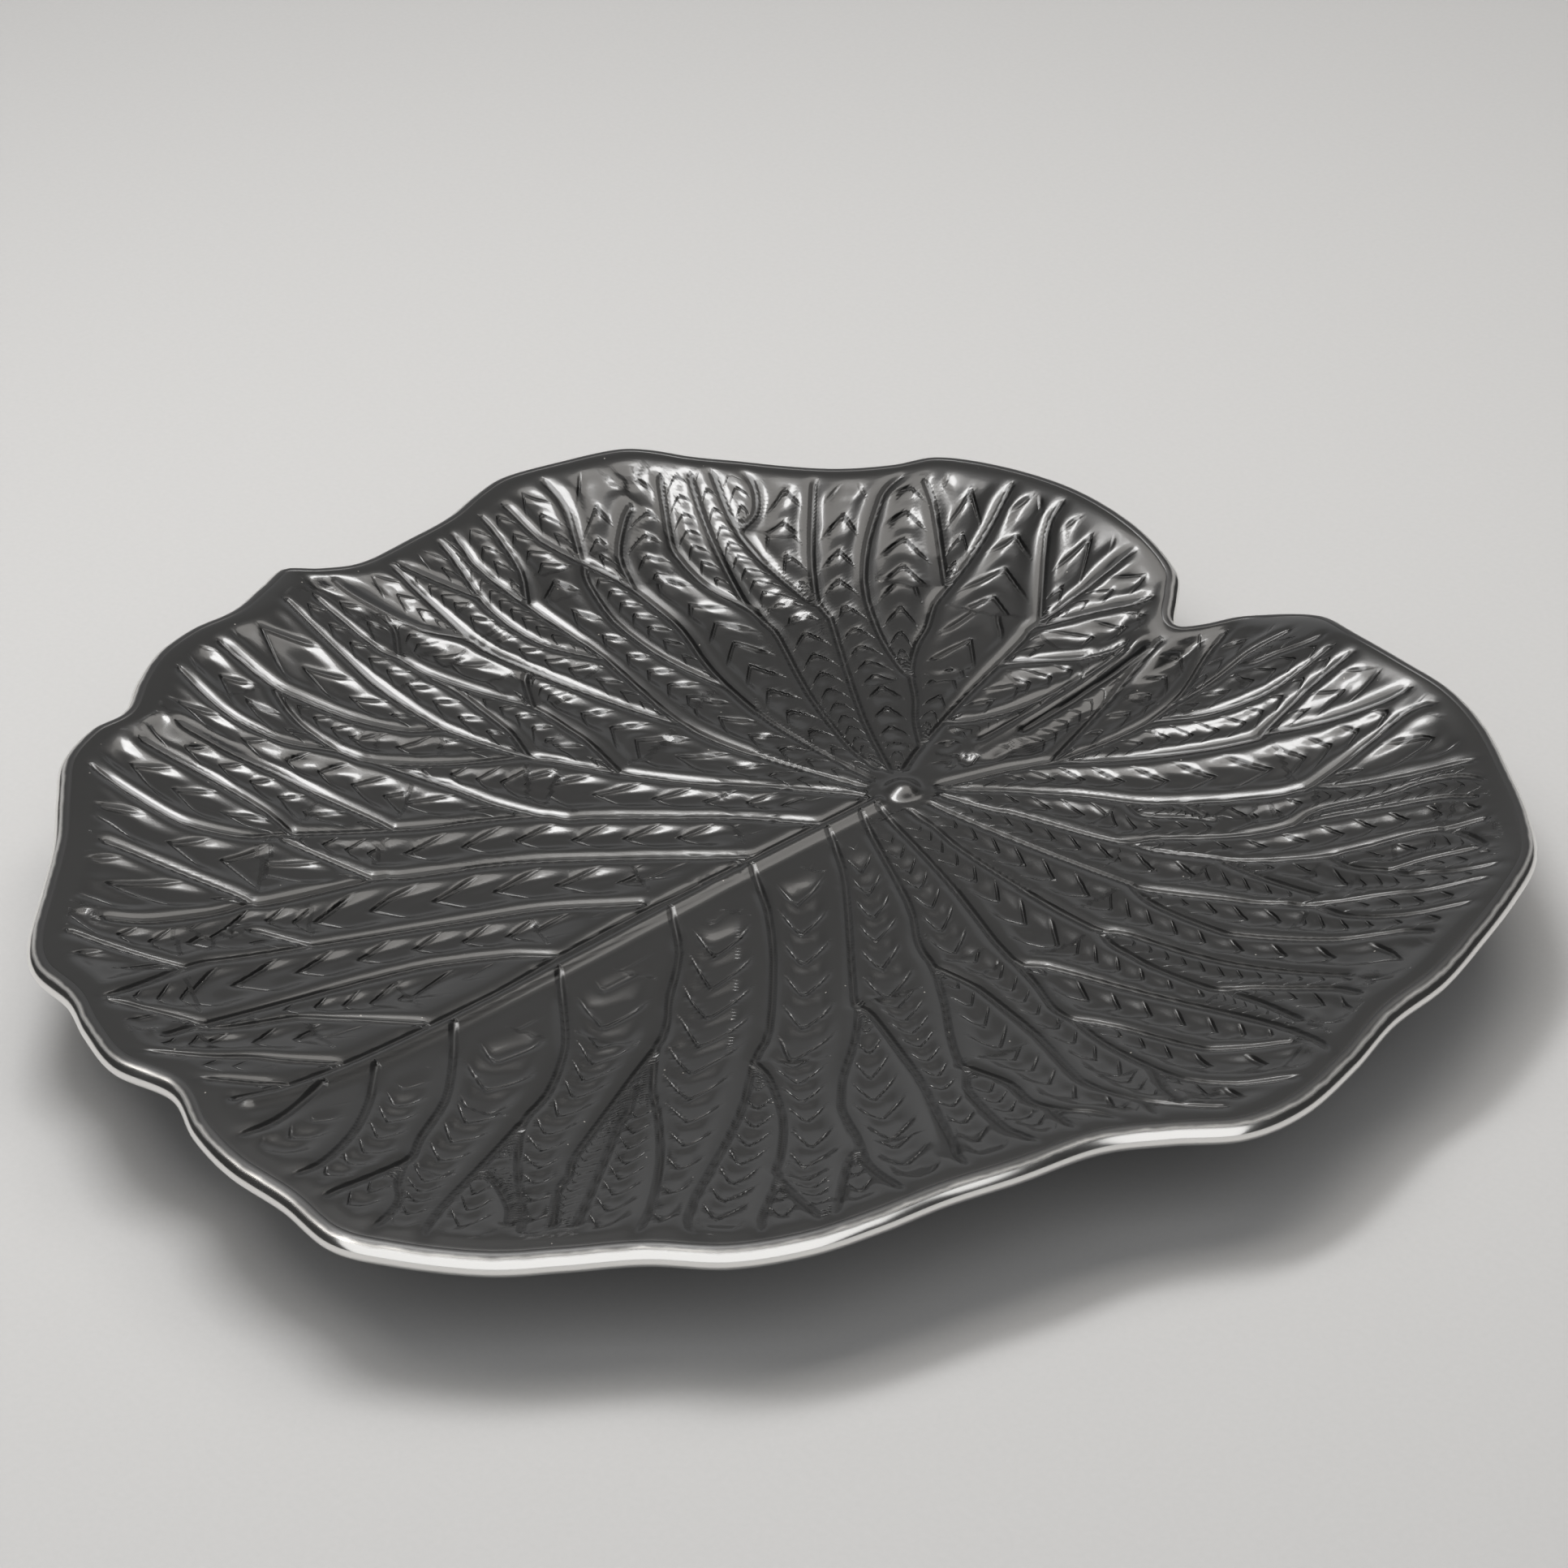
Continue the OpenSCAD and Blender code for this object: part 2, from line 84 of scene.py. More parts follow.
# Main valleys, each from the hub or the midrib out towards the rim; the first runs beside the midrib
MAIN_VALLEYS = [
    [
        (-0.02, -0.05), (-0.019, -0.47), (-0.003, -0.66), (0.021, -0.8), (0.034, -0.9),
        (0.08, -1.2), (0.085, -1.25), (0.084, -1.3),
    ],
    [(-0.023, 0.19), (-0.018, 0.315), (-0.004, 0.48)],
    [(0.007, 0.25), (0.022, 0.51)],
    [
        (-0.036, -0.028), (-0.247, -0.099), (-0.366, -0.12), (-0.501, -0.107), (-0.598, -0.104),
        (-0.804, -0.137), (-0.852, -0.134), (-0.905, -0.125),
    ],
    [
        (-0.031, -0.05), (-0.064, -0.069), (-0.161, -0.15), (-0.219, -0.205), (-0.311, -0.276),
        (-0.392, -0.33), (-0.438, -0.367), (-0.544, -0.418), (-0.588, -0.431), (-0.674, -0.446),
        (-0.728, -0.45), (-0.9, -0.451),
    ],
    [
        (-0.026, -0.153), (-0.111, -0.224), (-0.192, -0.314), (-0.257, -0.395), (-0.273, -0.422),
        (-0.307, -0.452), (-0.349, -0.535), (-0.381, -0.616), (-0.463, -0.79), (-0.479, -0.837),
        (-0.496, -0.864), (-0.533, -0.901), (-0.571, -0.923), (-0.674, -0.95), (-0.717, -0.955),
    ],
    [
        (-0.024, -0.286), (-0.1, -0.373), (-0.154, -0.443), (-0.208, -0.519), (-0.251, -0.6),
        (-0.295, -0.719), (-0.314, -0.757), (-0.339, -0.93), (-0.35, -0.949), (-0.351, -1),
        (-0.36, -1.054), (-0.374, -1.113), (-0.398, -1.157),
    ],
    [
        (-0.035, -0.49), (-0.1, -0.586), (-0.132, -0.654), (-0.181, -0.8), (-0.219, -0.943),
        (-0.242, -1.06), (-0.25, -1.124), (-0.223, -1.249), (-0.222, -1.292),
    ],
    [
        (-0.008, -0.68), (-0.041, -0.719), (-0.057, -0.751), (-0.073, -0.789), (-0.095, -0.86),
        (-0.11, -1), (-0.109, -1.2), (-0.102, -1.276),
    ],
    [(0.031, -0.945), (-0.052, -1.054), (-0.074, -1.09), (-0.087, -1.18), (-0.1, -1.215)],
    [(0.06, -1.115), (0.03, -1.17), (0, -1.215), (-0.025, -1.27), (-0.09, -1.345)],
    [(0.078, -1.215), (0.03, -1.305), (0, -1.335), (-0.04, -1.355)],
    [
        (-0.053, -0.009), (-0.204, -0.014), (-0.301, -0.011), (-0.436, 0.011), (-0.544, 0.045),
        (-0.62, 0.049), (-0.696, 0.042), (-0.804, 0.001), (-0.836, -0.007), (-0.9, -0.009),
    ],
    [
        (-0.074, 0.018), (-0.118, 0.023), (-0.161, 0.034), (-0.29, 0.082), (-0.426, 0.145),
        (-0.469, 0.155), (-0.517, 0.161), (-0.588, 0.147), (-0.631, 0.147), (-0.669, 0.153),
        (-0.7, 0.163), (-0.804, 0.234),
    ],
    [
        (-0.053, 0.026), (-0.188, 0.099), (-0.388, 0.226), (-0.415, 0.239), (-0.445, 0.247),
        (-0.469, 0.262), (-0.533, 0.315), (-0.62, 0.401), (-0.634, 0.42),
    ],
    [
        (-0.072, 0.11), (-0.128, 0.153), (-0.172, 0.196), (-0.226, 0.239), (-0.269, 0.293),
        (-0.29, 0.337), (-0.315, 0.374), (-0.326, 0.401), (-0.355, 0.52), (-0.39, 0.623),
    ],
    [
        (-0.042, 0.045), (-0.074, 0.115), (-0.123, 0.266), (-0.15, 0.41), (-0.155, 0.45),
        (-0.131, 0.65),
    ],
    [(0.1, 0.217), (0.04, 0.428), (0.024, 0.53)],
    [
        (0.024, 0.046), (0.059, 0.143), (0.081, 0.186), (0.104, 0.222), (0.178, 0.293),
        (0.303, 0.433), (0.308, 0.455), (0.311, 0.55), (0.33, 0.63),
    ],
    [
        (0.03, 0.045), (0.097, 0.11), (0.146, 0.149), (0.195, 0.186), (0.265, 0.224),
        (0.303, 0.252), (0.416, 0.352), (0.443, 0.385), (0.454, 0.406), (0.47, 0.558),
        (0.486, 0.596), (0.503, 0.612),
    ],
    [
        (0.045, 0.035), (0.124, 0.062), (0.162, 0.081), (0.292, 0.119), (0.33, 0.137),
        (0.36, 0.175), (0.459, 0.262), (0.519, 0.347), (0.584, 0.406), (0.649, 0.455),
        (0.697, 0.471),
    ],
    [
        (0.043, 0.005), (0.378, 0.051), (0.427, 0.054), (0.459, 0.065), (0.549, 0.105),
        (0.6, 0.122), (0.635, 0.141), (0.668, 0.151), (0.738, 0.208), (0.77, 0.23), (0.803, 0.246),
        (0.868, 0.3),
    ],
    [
        (0.02, -0.027), (0.1, -0.032), (0.15, -0.043), (0.254, -0.054), (0.454, -0.066),
        (0.51, -0.047), (0.676, -0.03), (0.86, 0.01),
    ],
    [
        (0.012, -0.06), (0.103, -0.084), (0.249, -0.132), (0.432, -0.206), (0.481, -0.187),
        (0.562, -0.165), (0.746, -0.135), (0.86, -0.133), (0.94, -0.149), (0.984, -0.165),
    ],
    [
        (0.008, -0.092), (0.216, -0.2), (0.292, -0.257), (0.33, -0.281), (0.368, -0.299),
        (0.449, -0.357), (0.519, -0.416), (0.589, -0.468), (0.61, -0.475), (0.635, -0.501),
        (0.668, -0.526), (0.786, -0.585), (0.819, -0.596), (0.862, -0.604), (0.895, -0.596),
    ],
    [
        (0.008, -0.16), (0.045, -0.18), (0.13, -0.24), (0.346, -0.432), (0.368, -0.444),
        (0.432, -0.513), (0.492, -0.592), (0.532, -0.634), (0.568, -0.665), (0.657, -0.72),
        (0.689, -0.774), (0.8, -0.9),
    ],
    [
        (0.005, -0.31), (0.076, -0.351), (0.119, -0.381), (0.2, -0.449), (0.33, -0.578),
        (0.378, -0.65), (0.476, -0.768), (0.597, -0.947), (0.63, -0.99), (0.66, -1.025),
        (0.69, -1.045), (0.73, -1.05),
    ],
    [
        (0.012, -0.475), (0.097, -0.535), (0.173, -0.622), (0.211, -0.659), (0.243, -0.697),
        (0.26, -0.724), (0.303, -0.767), (0.346, -0.806), (0.404, -0.848), (0.499, -0.929),
        (0.6, -1.035), (0.654, -1.108),
    ],
    [
        (0.035, -0.705), (0.146, -0.789), (0.2, -0.84), (0.26, -0.919), (0.3, -0.996),
        (0.39, -1.079), (0.49, -1.155), (0.535, -1.195),
    ],
    [
        (0.06, -0.915), (0.13, -0.975), (0.2, -1.045), (0.26, -1.135), (0.292, -1.175),
        (0.304, -1.22), (0.324, -1.34),
    ],
    [(0.092, -1.075), (0.162, -1.145), (0.216, -1.216), (0.26, -1.3), (0.265, -1.35)],
    [(0.1, -1.17), (0.138, -1.26), (0.152, -1.31), (0.155, -1.345)],
]

# Forks, each from a main valley or another fork towards the rim
FORKS = [
    [
        (-0.56, -0.107), (-0.615, -0.15), (-0.642, -0.164), (-0.674, -0.174), (-0.717, -0.18),
        (-0.76, -0.179), (-0.847, -0.161), (-0.917, -0.155),
    ],
    [(-0.77, -0.18), (-0.858, -0.236), (-0.89, -0.247)],
    [(-0.72, -0.122), (-0.782, -0.082), (-0.858, -0.064), (-0.9, -0.061)],
    [
        (-0.366, -0.123), (-0.398, -0.139), (-0.652, -0.239), (-0.696, -0.25), (-0.75, -0.255),
        (-0.89, -0.261),
    ],
    [(-0.674, -0.245), (-0.712, -0.258), (-0.766, -0.299), (-0.869, -0.342), (-0.905, -0.353)],
    [(-0.815, -0.328), (-0.782, -0.336), (-0.734, -0.369)],
    [
        (-0.322, -0.281), (-0.403, -0.266), (-0.451, -0.266), (-0.53, -0.274), (-0.593, -0.315),
        (-0.674, -0.361), (-0.728, -0.374), (-0.76, -0.39), (-0.89, -0.401),
    ],
    [(-0.53, -0.274), (-0.588, -0.239), (-0.598, -0.225)],
    [(-0.436, -0.364), (-0.49, -0.347), (-0.523, -0.344), (-0.62, -0.348), (-0.66, -0.362)],
    [(-0.438, -0.37), (-0.469, -0.445), (-0.501, -0.51), (-0.541, -0.571)],
    [(-0.588, -0.602), (-0.652, -0.612), (-0.7, -0.609), (-0.745, -0.597)],
    [
        (-0.558, -0.424), (-0.571, -0.455), (-0.588, -0.482), (-0.642, -0.531), (-0.717, -0.574),
        (-0.76, -0.593), (-0.86, -0.608),
    ],
    [
        (-0.305, -0.449), (-0.37, -0.484), (-0.425, -0.504), (-0.469, -0.526), (-0.541, -0.571),
        (-0.555, -0.585), (-0.588, -0.604), (-0.631, -0.653), (-0.66, -0.675), (-0.717, -0.699),
        (-0.78, -0.705), (-0.836, -0.704),
    ],
    [(-0.402, -0.652), (-0.447, -0.663), (-0.577, -0.707), (-0.615, -0.723), (-0.728, -0.782)],
    [(-0.463, -0.788), (-0.506, -0.785), (-0.544, -0.788), (-0.631, -0.809), (-0.728, -0.85)],
    [(-0.314, -0.757), (-0.455, -0.808)],
    [(-0.347, -0.947), (-0.382, -0.957), (-0.506, -1.022), (-0.55, -1.05)],
    [(-0.219, -0.943), (-0.275, -0.976), (-0.292, -0.99)],
    [(-0.25, -1.138), (-0.39, -1.225)],
    [(-0.11, -1.212), (-0.135, -1.228), (-0.21, -1.292)],
    [
        (-0.398, 0), (-0.458, -0.015), (-0.533, -0.028), (-0.62, -0.028), (-0.69, -0.01),
        (-0.725, 0.004), (-0.745, 0.02),
    ],
    [(-0.76, 0.024), (-0.815, 0.055), (-0.858, 0.074), (-0.912, 0.08)],
    [(-0.665, 0.05), (-0.728, 0.077), (-0.777, 0.131), (-0.793, 0.158)],
    [(-0.5, 0.163), (-0.533, 0.166), (-0.674, 0.223), (-0.77, 0.269)],
    [(-0.445, 0.243), (-0.479, 0.24), (-0.598, 0.247), (-0.674, 0.266), (-0.75, 0.299)],
    [(-0.642, 0.262), (-0.647, 0.296), (-0.668, 0.32), (-0.695, 0.335), (-0.72, 0.34)],
    [
        (-0.215, 0.231), (-0.247, 0.236), (-0.318, 0.264), (-0.382, 0.299), (-0.413, 0.32),
        (-0.445, 0.347), (-0.488, 0.396), (-0.526, 0.455), (-0.542, 0.488), (-0.547, 0.53),
    ],
    [(-0.342, 0.428), (-0.461, 0.52), (-0.51, 0.547)],
    [(-0.153, 0.45), (-0.272, 0.585), (-0.293, 0.639)],
    [(-0.15, 0.445), (-0.093, 0.53), (-0.045, 0.59)],
    [(-0.137, 0.347), (-0.03, 0.455), (-0.012, 0.49)],
    [(-0.095, 0.185), (-0.074, 0.207), (-0.047, 0.261), (-0.028, 0.331), (-0.018, 0.4)],
    [(0.311, 0.455), (0.378, 0.52), (0.432, 0.585), (0.449, 0.612)],
    [
        (0.104, 0.225), (0.138, 0.352), (0.143, 0.396), (0.14, 0.439), (0.13, 0.482),
        (0.097, 0.563), (0.086, 0.612),
    ],
    [(0.141, 0.43), (0.157, 0.504), (0.162, 0.585), (0.19, 0.64)],
    [(0.16, 0.553), (0.189, 0.563), (0.211, 0.59), (0.243, 0.617), (0.26, 0.64)],
    [
        (0.143, 0.375), (0.152, 0.392), (0.184, 0.417), (0.216, 0.45), (0.243, 0.488),
        (0.265, 0.53), (0.29, 0.62),
    ],
    [(0.456, 0.405), (0.486, 0.417), (0.524, 0.444), (0.649, 0.547)],
    [(0.31, 0.258), (0.33, 0.263), (0.37, 0.263)],
    [(0.255, 0.217), (0.292, 0.205), (0.324, 0.222), (0.357, 0.246), (0.389, 0.26)],
    [
        (0.497, 0.32), (0.503, 0.365), (0.568, 0.431), (0.589, 0.461), (0.616, 0.488),
        (0.649, 0.504), (0.68, 0.509),
    ],
    [
        (0.335, 0.137), (0.378, 0.146), (0.449, 0.181), (0.478, 0.191), (0.513, 0.211),
        (0.573, 0.257), (0.6, 0.283), (0.657, 0.354), (0.684, 0.381), (0.716, 0.4), (0.75, 0.43),
    ],
    [(0.482, 0.188), (0.5, 0.182), (0.657, 0.181)],
    [
        (0.6, 0.276), (0.635, 0.268), (0.668, 0.27), (0.705, 0.279), (0.743, 0.278), (0.77, 0.292),
        (0.803, 0.303), (0.835, 0.322), (0.86, 0.35),
    ],
    [(0.708, 0.28), (0.732, 0.316), (0.76, 0.343), (0.79, 0.365)],
    [(0.7, 0.392), (0.73, 0.394), (0.76, 0.39), (0.795, 0.378)],
    [
        (0.427, 0.05), (0.454, 0.041), (0.5, 0.035), (0.6, 0.034), (0.64, 0.04), (0.76, 0.084),
        (0.792, 0.1), (0.851, 0.138), (0.89, 0.146),
    ],
    [
        (0.682, 0.157), (0.727, 0.15), (0.77, 0.157), (0.803, 0.168), (0.835, 0.184),
        (0.868, 0.208), (0.895, 0.235), (0.905, 0.26),
    ],
    [
        (0.47, -0.065), (0.503, -0.08), (0.551, -0.086), (0.6, -0.092), (0.7, -0.093),
        (0.727, -0.085), (0.757, -0.067), (0.789, -0.054), (0.87, -0.027), (0.91, -0.028),
    ],
    [(0.727, -0.088), (0.8, -0.093), (0.88, -0.11)],
    [
        (0.437, -0.206), (0.503, -0.232), (0.568, -0.265), (0.605, -0.272), (0.622, -0.268),
        (0.649, -0.254), (0.697, -0.24), (0.8, -0.227), (0.832, -0.216), (0.913, -0.162),
    ],
    [
        (0.615, -0.272), (0.703, -0.297), (0.832, -0.314), (0.876, -0.309), (0.903, -0.3),
        (0.94, -0.281), (0.99, -0.235),
    ],
    [(0.806, -0.312), (0.859, -0.354), (0.897, -0.373), (0.912, -0.386)],
    [
        (0.37, -0.298), (0.432, -0.296), (0.481, -0.303), (0.616, -0.343), (0.746, -0.405),
        (0.778, -0.415), (0.811, -0.42), (0.859, -0.417), (0.897, -0.408), (0.94, -0.381),
        (0.965, -0.36),
    ],
    [(0.881, -0.416), (0.924, -0.443), (0.946, -0.45)],
    [
        (0.608, -0.471), (0.692, -0.476), (0.757, -0.505), (0.8, -0.509), (0.832, -0.505),
        (0.859, -0.495), (0.897, -0.489), (0.93, -0.476), (0.951, -0.46),
    ],
    [(0.8, -0.509), (0.835, -0.531), (0.873, -0.545), (0.905, -0.547)],
    [
        (0.368, -0.444), (0.4, -0.449), (0.503, -0.495), (0.6, -0.546), (0.759, -0.653),
        (0.803, -0.688), (0.835, -0.704),
    ],
    [(0.657, -0.72), (0.716, -0.761), (0.803, -0.796), (0.835, -0.8)],
    [
        (0.382, -0.652), (0.427, -0.668), (0.515, -0.725), (0.592, -0.8), (0.624, -0.839),
        (0.646, -0.855), (0.716, -0.947), (0.749, -0.98), (0.77, -1.01),
    ],
    [(0.648, -0.856), (0.8, -0.92)],
    [
        (0.262, -0.728), (0.31, -0.822), (0.408, -0.995), (0.447, -1.041), (0.476, -1.086),
        (0.55, -1.156),
    ],
    [(0.318, -0.818), (0.357, -0.857), (0.4, -0.921), (0.57, -1.135)],
    [(0.3, -1), (0.4, -1.195), (0.45, -1.275), (0.478, -1.305)],
    [(0.36, -1.118), (0.4, -1.127), (0.443, -1.146), (0.476, -1.165), (0.505, -1.19)],
    [(0.3, -1.195), (0.335, -1.232), (0.37, -1.258), (0.4, -1.3), (0.418, -1.345)],
]


def smooth_curve(shares, steps, closed):
    """Points in millimetres on a smooth curve through a list of shares."""
    p = np.array(shares, float) * LEAF_HALF_W
    if closed:
        p = np.vstack([p[-1:], p, p[:2]])
    else:
        p = np.vstack([2 * p[0] - p[1], p, 2 * p[-1] - p[-2]])
    t = np.arange(steps)[:, None] / steps
    runs = [
        0.5 * (2 * b + (c - a) * t + (2 * a - 5 * b + 4 * c - d) * t**2 + (3 * b - a - 3 * c + d) * t**3)
        for a, b, c, d in zip(p[:-3], p[1:-2], p[2:-1], p[3:])
    ]
    return np.vstack(runs if closed else runs + [p[-2:-1]])


def bearing_of(points, centre=(0.0, 0.0)):
    """Bearing of each point in radians, seen from a centre."""
    return np.arctan2(points[:, 1] - centre[1], points[:, 0] - centre[0])


def round_table(bearings, values):
    """Lookup of values by bearing that joins up after a full turn."""
    order = np.argsort(bearings)
    b = bearings[order]
    v = values[order]
    b = np.r_[b - math.tau, b, b + math.tau]
    v = np.concatenate([v, v, v])
    return lambda at: np.stack([np.interp(at, b, column) for column in v.reshape(len(v), -1).T], -1)


OUTLINE_STEPS = 16
edge = smooth_curve(OUTLINE, OUTLINE_STEPS, True)
along_edge = np.roll(edge, -1, 0) - np.roll(edge, 1, 0)
along_edge /= np.linalg.norm(along_edge, axis=1)[:, None]
outward = np.stack([along_edge[:, 1], -along_edge[:, 0]], 1)
lip_line = edge - LIP_W * outward
corners = np.array(OUTLINE) * LEAF_HALF_W
middle = (corners.min(0) + corners.max(0)) / 2
reach_from_hub = round_table(bearing_of(lip_line), np.linalg.norm(lip_line, axis=1))
from_middle = bearing_of(lip_line, middle)
lip_from_middle = round_table(from_middle, lip_line)
outward_from_middle = round_table(from_middle, outward)


def rim_height(points):
    """Height of the wavy rim above the table, which dips at the notch."""
    bearing = np.degrees(bearing_of(points))
    gap = (bearing - NOTCH_BEARING + 180) % 360 - 180
    dip = NOTCH_DIP * np.exp(-((gap / NOTCH_SPREAD) ** 2))
    return RIM_H + RIM_WAVE * np.sin(np.radians(RIM_WAVES * bearing)) - dip


def leaf_height(points):
    """Upper side of the leaf without its relief: it curls up late and levels off at the lip."""
    share = np.linalg.norm(points, axis=1) / reach_from_hub(bearing_of(points))[:, 0]
    share = np.minimum(share, 1.0)
    rolled = np.minimum(share, ROLL_SHARE) ** CURL
    past = np.maximum(share - ROLL_SHARE, 0.0)
    slope = CURL * ROLL_SHARE ** (CURL - 1)
    level = 1.0 - ROLL_SHARE
    rolled += slope * (past - past**2 / (2 * level))
    whole = ROLL_SHARE**CURL + slope * level / 2
    return HUB_Z + (rim_height(points) - HUB_Z) * rolled / whole


# Valleys: a raised band rises beside each. Where two valleys run close together it is narrower, and lower,
# from BAND_LOW of its height up to all of it; towards the lip all relief fades out over MARGIN
VEIN_STEPS = 3
VALLEY_REACH = 24.0
BAND_H, BAND_W, BAND_POWER = 1.15, 3.3, 2.2
BAND_SHARE, BAND_LEAST = 0.9, 0.2
BAND_LOW, BAND_WHOLE = 0.5, (0.6, 3.0)
MARGIN = (0.5, 9.5)
TINY = 1e-6

# A hollow runs along each field's middle, whole in a field of the greater half width
HOLLOW_H, HOLLOW_POWER, HOLLOW_WHOLE = 0.7, 1.5, (2.0, 7.0)

# Stamped notches: in the hollow, a row of slopes that fall outward and each end in a step back up. Their
# pitch is a share of the field's width, STAMP_LEAN bends each one to a V, and those of a small pitch and
# those ends beside a band are shallower
STAMP_PITCH, STAMP_LEAN, STAMP_STEP, STAMP_SWELL = 0.6, 1.3, 0.22, 1.1
STAMP_DEPTH, STAMP_DEPTH_FRONT = 1.0, 1.7
STAMP_FULL_PITCH, STAMP_DEPTH_SHARES, STAMP_DEPTH_EDGE = 8.0, (0.3, 1.3), 0.3
STAMP_GROWTH, STAMP_LEAST, SPREAD_LEAST = (0.02, 0.3), 1.2, 1.0
FIELD_LEAST = 0.5

# The fields in front point their notches nearer to the valley on the tip's side, and every field's row of
# notches starts at a place of its own
FRONT_BEARING, FRONT_LEAN, EVEN_LEAN = -36.0, 0.38, 0.5
SCATTER_TURN, SCATTER_GAIN = 12.9898, 43758.5453

# The stamping fades in over these lengths, the first of them in widths of the plain band by a valley
PLAIN_W, PLAIN_SHARE, PLAIN_LEAST = 4.0, 0.48, 0.3
STAMP_FROM_PLAIN = (0.8, 1.6)
STAMP_FROM_NARROW = (1.2, 3.5)
STAMP_FROM_HUB = (11.0, 20.0)
STAMP_FROM_LIP = (4.0, 8.5)
STAMP_FROM_MIDRIB = (7.0, 18.0)
STAMP_FROM_NOTCH_BAND = (3.0, 7.0)

# Raised lines: the midrib's foot blends wider into the fields on its right than into those on its left
MIDRIB_H, MIDRIB_W, MIDRIB_FOOT = 1.3, 1.8, 2.6
MIDRIB_BLEND_LEFT, MIDRIB_BLEND_RIGHT = 5.0, 9.0
NOTCH_BAND_H, NOTCH_BAND_W = 0.6, 1.2

# The hub stands clear of the valleys, with a shallow groove round it that stops where the midrib joins
HUB_R, HUB_RISE, HUB_POWER = 6.6, 3.3, 1.4
HUB_CLEAR = (5.5, 10.5)
HUB_GROOVE_H, HUB_GROOVE_OFF, HUB_GROOVE_W = 0.15, 0.4, 0.8
HUB_JOIN, HUB_JOIN_SHARES = (5.0, 3.0), (0.8, 1.0)

valleys = [smooth_curve(route, VEIN_STEPS, False) for route in MAIN_VALLEYS + FORKS]
midrib = smooth_curve(MIDRIB, VEIN_STEPS, False)
notch_band = smooth_curve(NOTCH_BAND, VEIN_STEPS, False)


def nearest_on(line, points):
    """Distance to a route, the way to its nearest point, and the route's direction there."""
    start = line[:-1]
    run = line[1:] - start
    offset = points[:, None, :] - start[None]
    t = np.clip((offset * run).sum(2) / (run**2).sum(1), 0, 1)
    gap = t[:, :, None] * run - offset
    distance = np.linalg.norm(gap, axis=2)
    best = distance.argmin(1)
    rows = np.arange(len(points))
    return distance[rows, best], gap[rows, best], run[best]


def smooth_step(low, high, value):
    """0 below low, 1 above high, and a smooth rise between them."""
    t = np.clip((value - low) / (high - low), 0, 1)
    return t * t * (3 - 2 * t)


def ridge(distance, width):
    """Rounded ridge, 1 on its middle line."""
    return np.exp(-((distance / width) ** 2))


def band_rise(distance, band):
    """Rise from a valley to the top of the band beside it: steep at the valley, level at the top."""
    return 1 - (1 - np.clip(distance / band, 0, 1)) ** BAND_POWER


def right_of_midrib(points):
    """Whether each point lies to the right of the midrib, seen with the leaf's tip downwards."""
    return points[:, 0] > np.interp(-points[:, 1], -midrib[:, 1], midrib[:, 0])


def outward_terms(points):
    """Terms, and their slopes, of the field that runs outward along the veins."""
    x, y = (points / LEAF_HALF_W).T
    r = np.hypot(x, y) + TINY
    zero, one = np.zeros_like(x), np.ones_like(x)
    terms = [r, x, y, x * x, x * y, y * y, x**3, x * x * y, x * y * y, y**3]
    slope_x = [x / r, one, zero, 2 * x, y, zero, 3 * x * x, 2 * x * y, y * y, zero]
    slope_y = [y / r, zero, one, zero, x, 2 * y, zero, x * x, 2 * x * y, 3 * y * y]
    return np.stack(terms, 1), np.stack(slope_x, 1), np.stack(slope_y, 1)


def outward_field(points):
    """Length run outward along the veins, fitted on each side of the midrib to the veins' directions."""
    right = right_of_midrib(points)
    run = np.zeros(len(points))
    for side in (False, True):
        at, way = [], []
        for line in valleys[1:]:
            if (line[-1, 0] > 0) == side:
                step = np.diff(line, axis=0)
                at.append((line[1:] + line[:-1]) / 2)
                way.append(step / np.linalg.norm(step, axis=1)[:, None])
        at, way = np.vstack(at), np.vstack(way)
        _, slope_x, slope_y = outward_terms(at)
        weights = np.linalg.lstsq(np.vstack([slope_x, slope_y]), way.T.ravel(), rcond=None)[0]
        chosen = right == side
        run[chosen] = outward_terms(points[chosen])[0] @ weights * LEAF_HALF_W
    return run


def bracketing_valleys(points):
    """Each point's nearest valley and the nearest on its other side: distance to both, number of both,
    and the way to the nearest one with that valley's direction there."""
    count = len(points)
    near, across = np.full(count, VALLEY_REACH), np.full(count, VALLEY_REACH)
    number_near, number_across = np.zeros(count, int), np.zeros(count, int)
    way_near, run_near = np.zeros((count, 2)), np.ones((count, 2))
    found = []
    for number, line in enumerate(valleys):
        box = (points > line.min(0) - VALLEY_REACH) & (points < line.max(0) + VALLEY_REACH)
        inside = np.flatnonzero(box.all(1))
        distance, way, run = nearest_on(line, points[inside])
        found.append((inside, distance, way))
        closer = distance < near[inside]
        spots = inside[closer]
        near[spots], number_near[spots] = distance[closer], number
        way_near[spots], run_near[spots] = way[closer], run[closer]
    for number, (inside, distance, way) in enumerate(found):
        closer = ((way * way_near[inside]).sum(1) < 0) & (distance < across[inside])
        spots = inside[closer]
        across[spots], number_across[spots] = distance[closer], number
    return near, across, number_near, number_across, way_near, run_near


